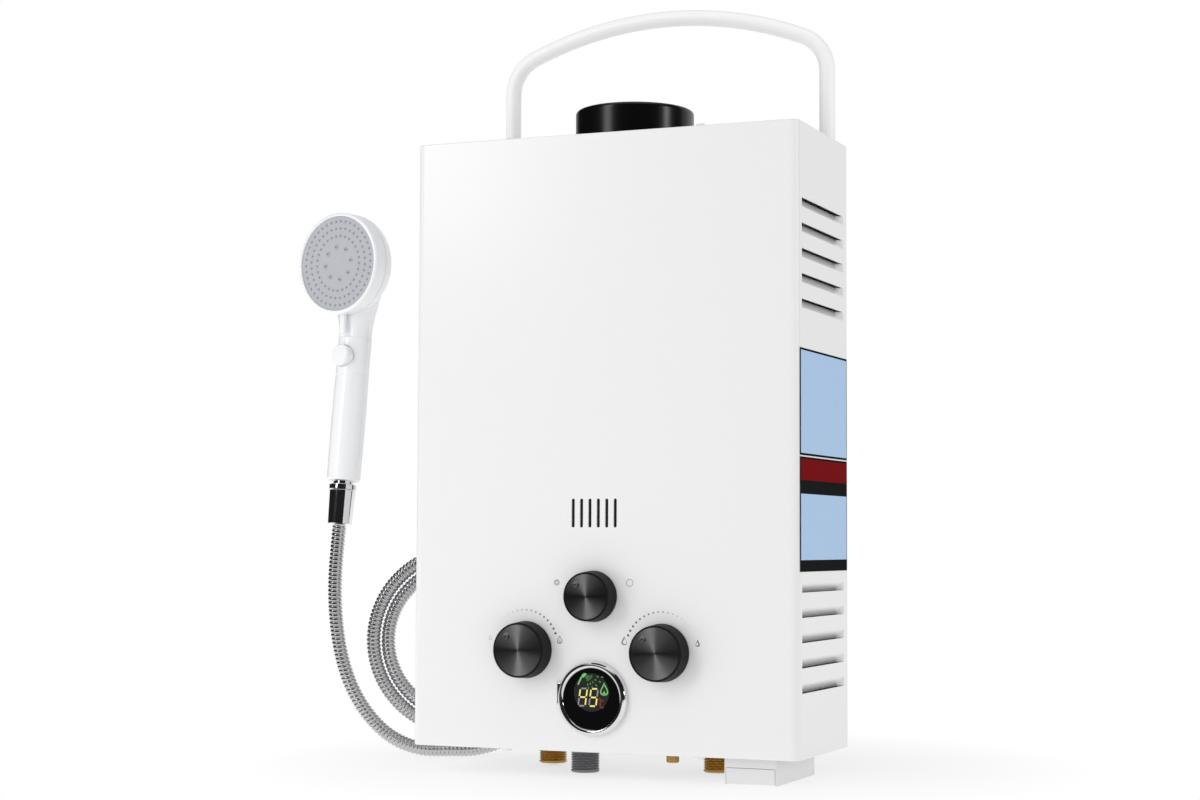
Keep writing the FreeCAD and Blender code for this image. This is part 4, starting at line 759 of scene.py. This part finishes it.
floor_mesh = bpy.data.meshes.new("floor")
floor_corners = [(x * floor_reach, y * floor_reach, floor_z)
                 for x, y in ((-1, -1), (1, -1), (1, 1), (-1, 1))]
floor_mesh.from_pydata(floor_corners, [], [[0, 1, 2, 3]])
floor = bpy.data.objects.new("floor", floor_mesh)
bpy.context.scene.collection.objects.link(floor)
ground = bpy.data.materials.new("studio_floor")
ground.use_nodes = True
ground.cycles.emission_sampling = "NONE"
tree = ground.node_tree
nodes, links = tree.nodes, tree.links
matt = nodes["Principled BSDF"]
matt.inputs["Base Color"].default_value = (floor_albedo, floor_albedo, floor_albedo, 1)
matt.inputs["Roughness"].default_value = 0.6
place = nodes.new("ShaderNodeTexCoord")
distance = nodes.new("ShaderNodeVectorMath")
distance.operation = "LENGTH"
links.new(place.outputs["Object"], distance.inputs[0])
white = nodes.new("ShaderNodeEmission")
blend = nodes.new("ShaderNodeMixShader")
links.new(ranged(tree, distance.outputs["Value"], white_from, white_to, white_near), blend.inputs["Fac"])
links.new(matt.outputs["BSDF"], blend.inputs[1])
links.new(white.outputs["Emission"], blend.inputs[2])
# In reflections the floor is as white by the heater, and dark where it runs into the room in front.
depth = nodes.new("ShaderNodeSeparateXYZ")
links.new(place.outputs["Object"], depth.inputs["Vector"])
floor_rays = nodes.new("ShaderNodeLightPath")
level = nodes.new("ShaderNodeMix")
level.inputs["A"].default_value = 1.0
links.new(floor_rays.outputs["Is Glossy Ray"], level.inputs["Factor"])
links.new(ranged(tree, depth.outputs["Y"], floor_dark_y, floor_white_y, floor_dark), level.inputs["B"])
links.new(level.outputs["Result"], white.inputs["Strength"])
links.new(blend.outputs["Shader"], nodes["Material Output"].inputs["Surface"])
floor_mesh.materials.append(ground)

world = bpy.data.worlds.new("studio")
bpy.context.scene.world = world
world.use_nodes = True
world.cycles.sampling_method = "NONE"
tree = world.node_tree
nodes, links = tree.nodes, tree.links
surround = nodes["Background"]
surround.inputs["Color"].default_value = surround_grey
backdrop = nodes.new("ShaderNodeBackground")
backdrop.inputs["Color"].default_value = (1, 1, 1, 1)
rays_seen = nodes.new("ShaderNodeLightPath")
seen = nodes.new("ShaderNodeMath")
seen.operation = "MAXIMUM"
links.new(rays_seen.outputs["Is Camera Ray"], seen.inputs[0])
links.new(rays_seen.outputs["Is Transmission Ray"], seen.inputs[1])
# What shines sees the same white behind the heater and overhead, and a dark room behind the camera.
room = nodes.new("ShaderNodeTexCoord")
split = nodes.new("ShaderNodeSeparateXYZ")
links.new(room.outputs["Generated"], split.inputs["Vector"])
bright = nodes.new("ShaderNodeMath")
bright.operation = "MAXIMUM"
for socket, (axis, dark_at, white_at) in enumerate(room_whites):
    links.new(ranged(tree, split.outputs[axis], dark_at, white_at, room_dark, smooth=True),
              bright.inputs[socket])
reflected = nodes.new("ShaderNodeBackground")
links.new(bright.outputs["Value"], reflected.inputs["Strength"])
shine = nodes.new("ShaderNodeMixShader")
links.new(rays_seen.outputs["Is Glossy Ray"], shine.inputs["Fac"])
links.new(surround.outputs["Background"], shine.inputs[1])
links.new(reflected.outputs["Background"], shine.inputs[2])
choose = nodes.new("ShaderNodeMixShader")
links.new(seen.outputs["Value"], choose.inputs["Fac"])
links.new(shine.outputs["Shader"], choose.inputs[1])
links.new(backdrop.outputs["Background"], choose.inputs[2])
links.new(choose.outputs["Shader"], nodes["World Output"].inputs["Surface"])


def lamp(name, place, aim, width, height, power, shines=False):
    """Soft lamp that faces a point. The camera doesn't see it, nor do reflections unless it shines."""
    data = bpy.data.lights.new(name, "AREA")
    data.shape = "RECTANGLE"
    data.size, data.size_y = width, height
    data.energy = power
    holder = bpy.data.objects.new(name, data)
    holder.visible_glossy = shines
    holder.visible_camera = False
    back = np.array(place, float) - np.array(aim, float)
    back /= np.linalg.norm(back)
    across = np.cross((0, 0, 1), back)
    across /= np.linalg.norm(across)
    stand(holder, across, np.cross(back, across), back, place)


lamp("key", (-1.0, -0.9, -0.2), (0, -0.13, -0.1), width=0.7, height=0.7, power=3.3)
lamp("fill", (0.7, -1.9, -0.15), (0, -0.13, -0.15), width=1.0, height=1.0, power=3.0)
lamp("low", (-0.15, -0.60, -0.20), (0, -0.137, -0.18), width=0.6, height=0.06, power=0.18)
lamp("strip_left", (-1.2, -1.95, 1.1), (0, -0.1, 0.1), width=0.6, height=1.4, power=10.5, shines=True)
lamp("strip_right", (2.3, -0.27, 0.6), (0, -0.07, 0.1), width=0.3, height=0.9, power=6.0, shines=True)
lamp("top", (0.2, -0.2, 2.2), (0, -0.07, 0), width=1.4, height=1.4, power=6.0)

bpy.context.scene.view_settings.view_transform = "Standard"
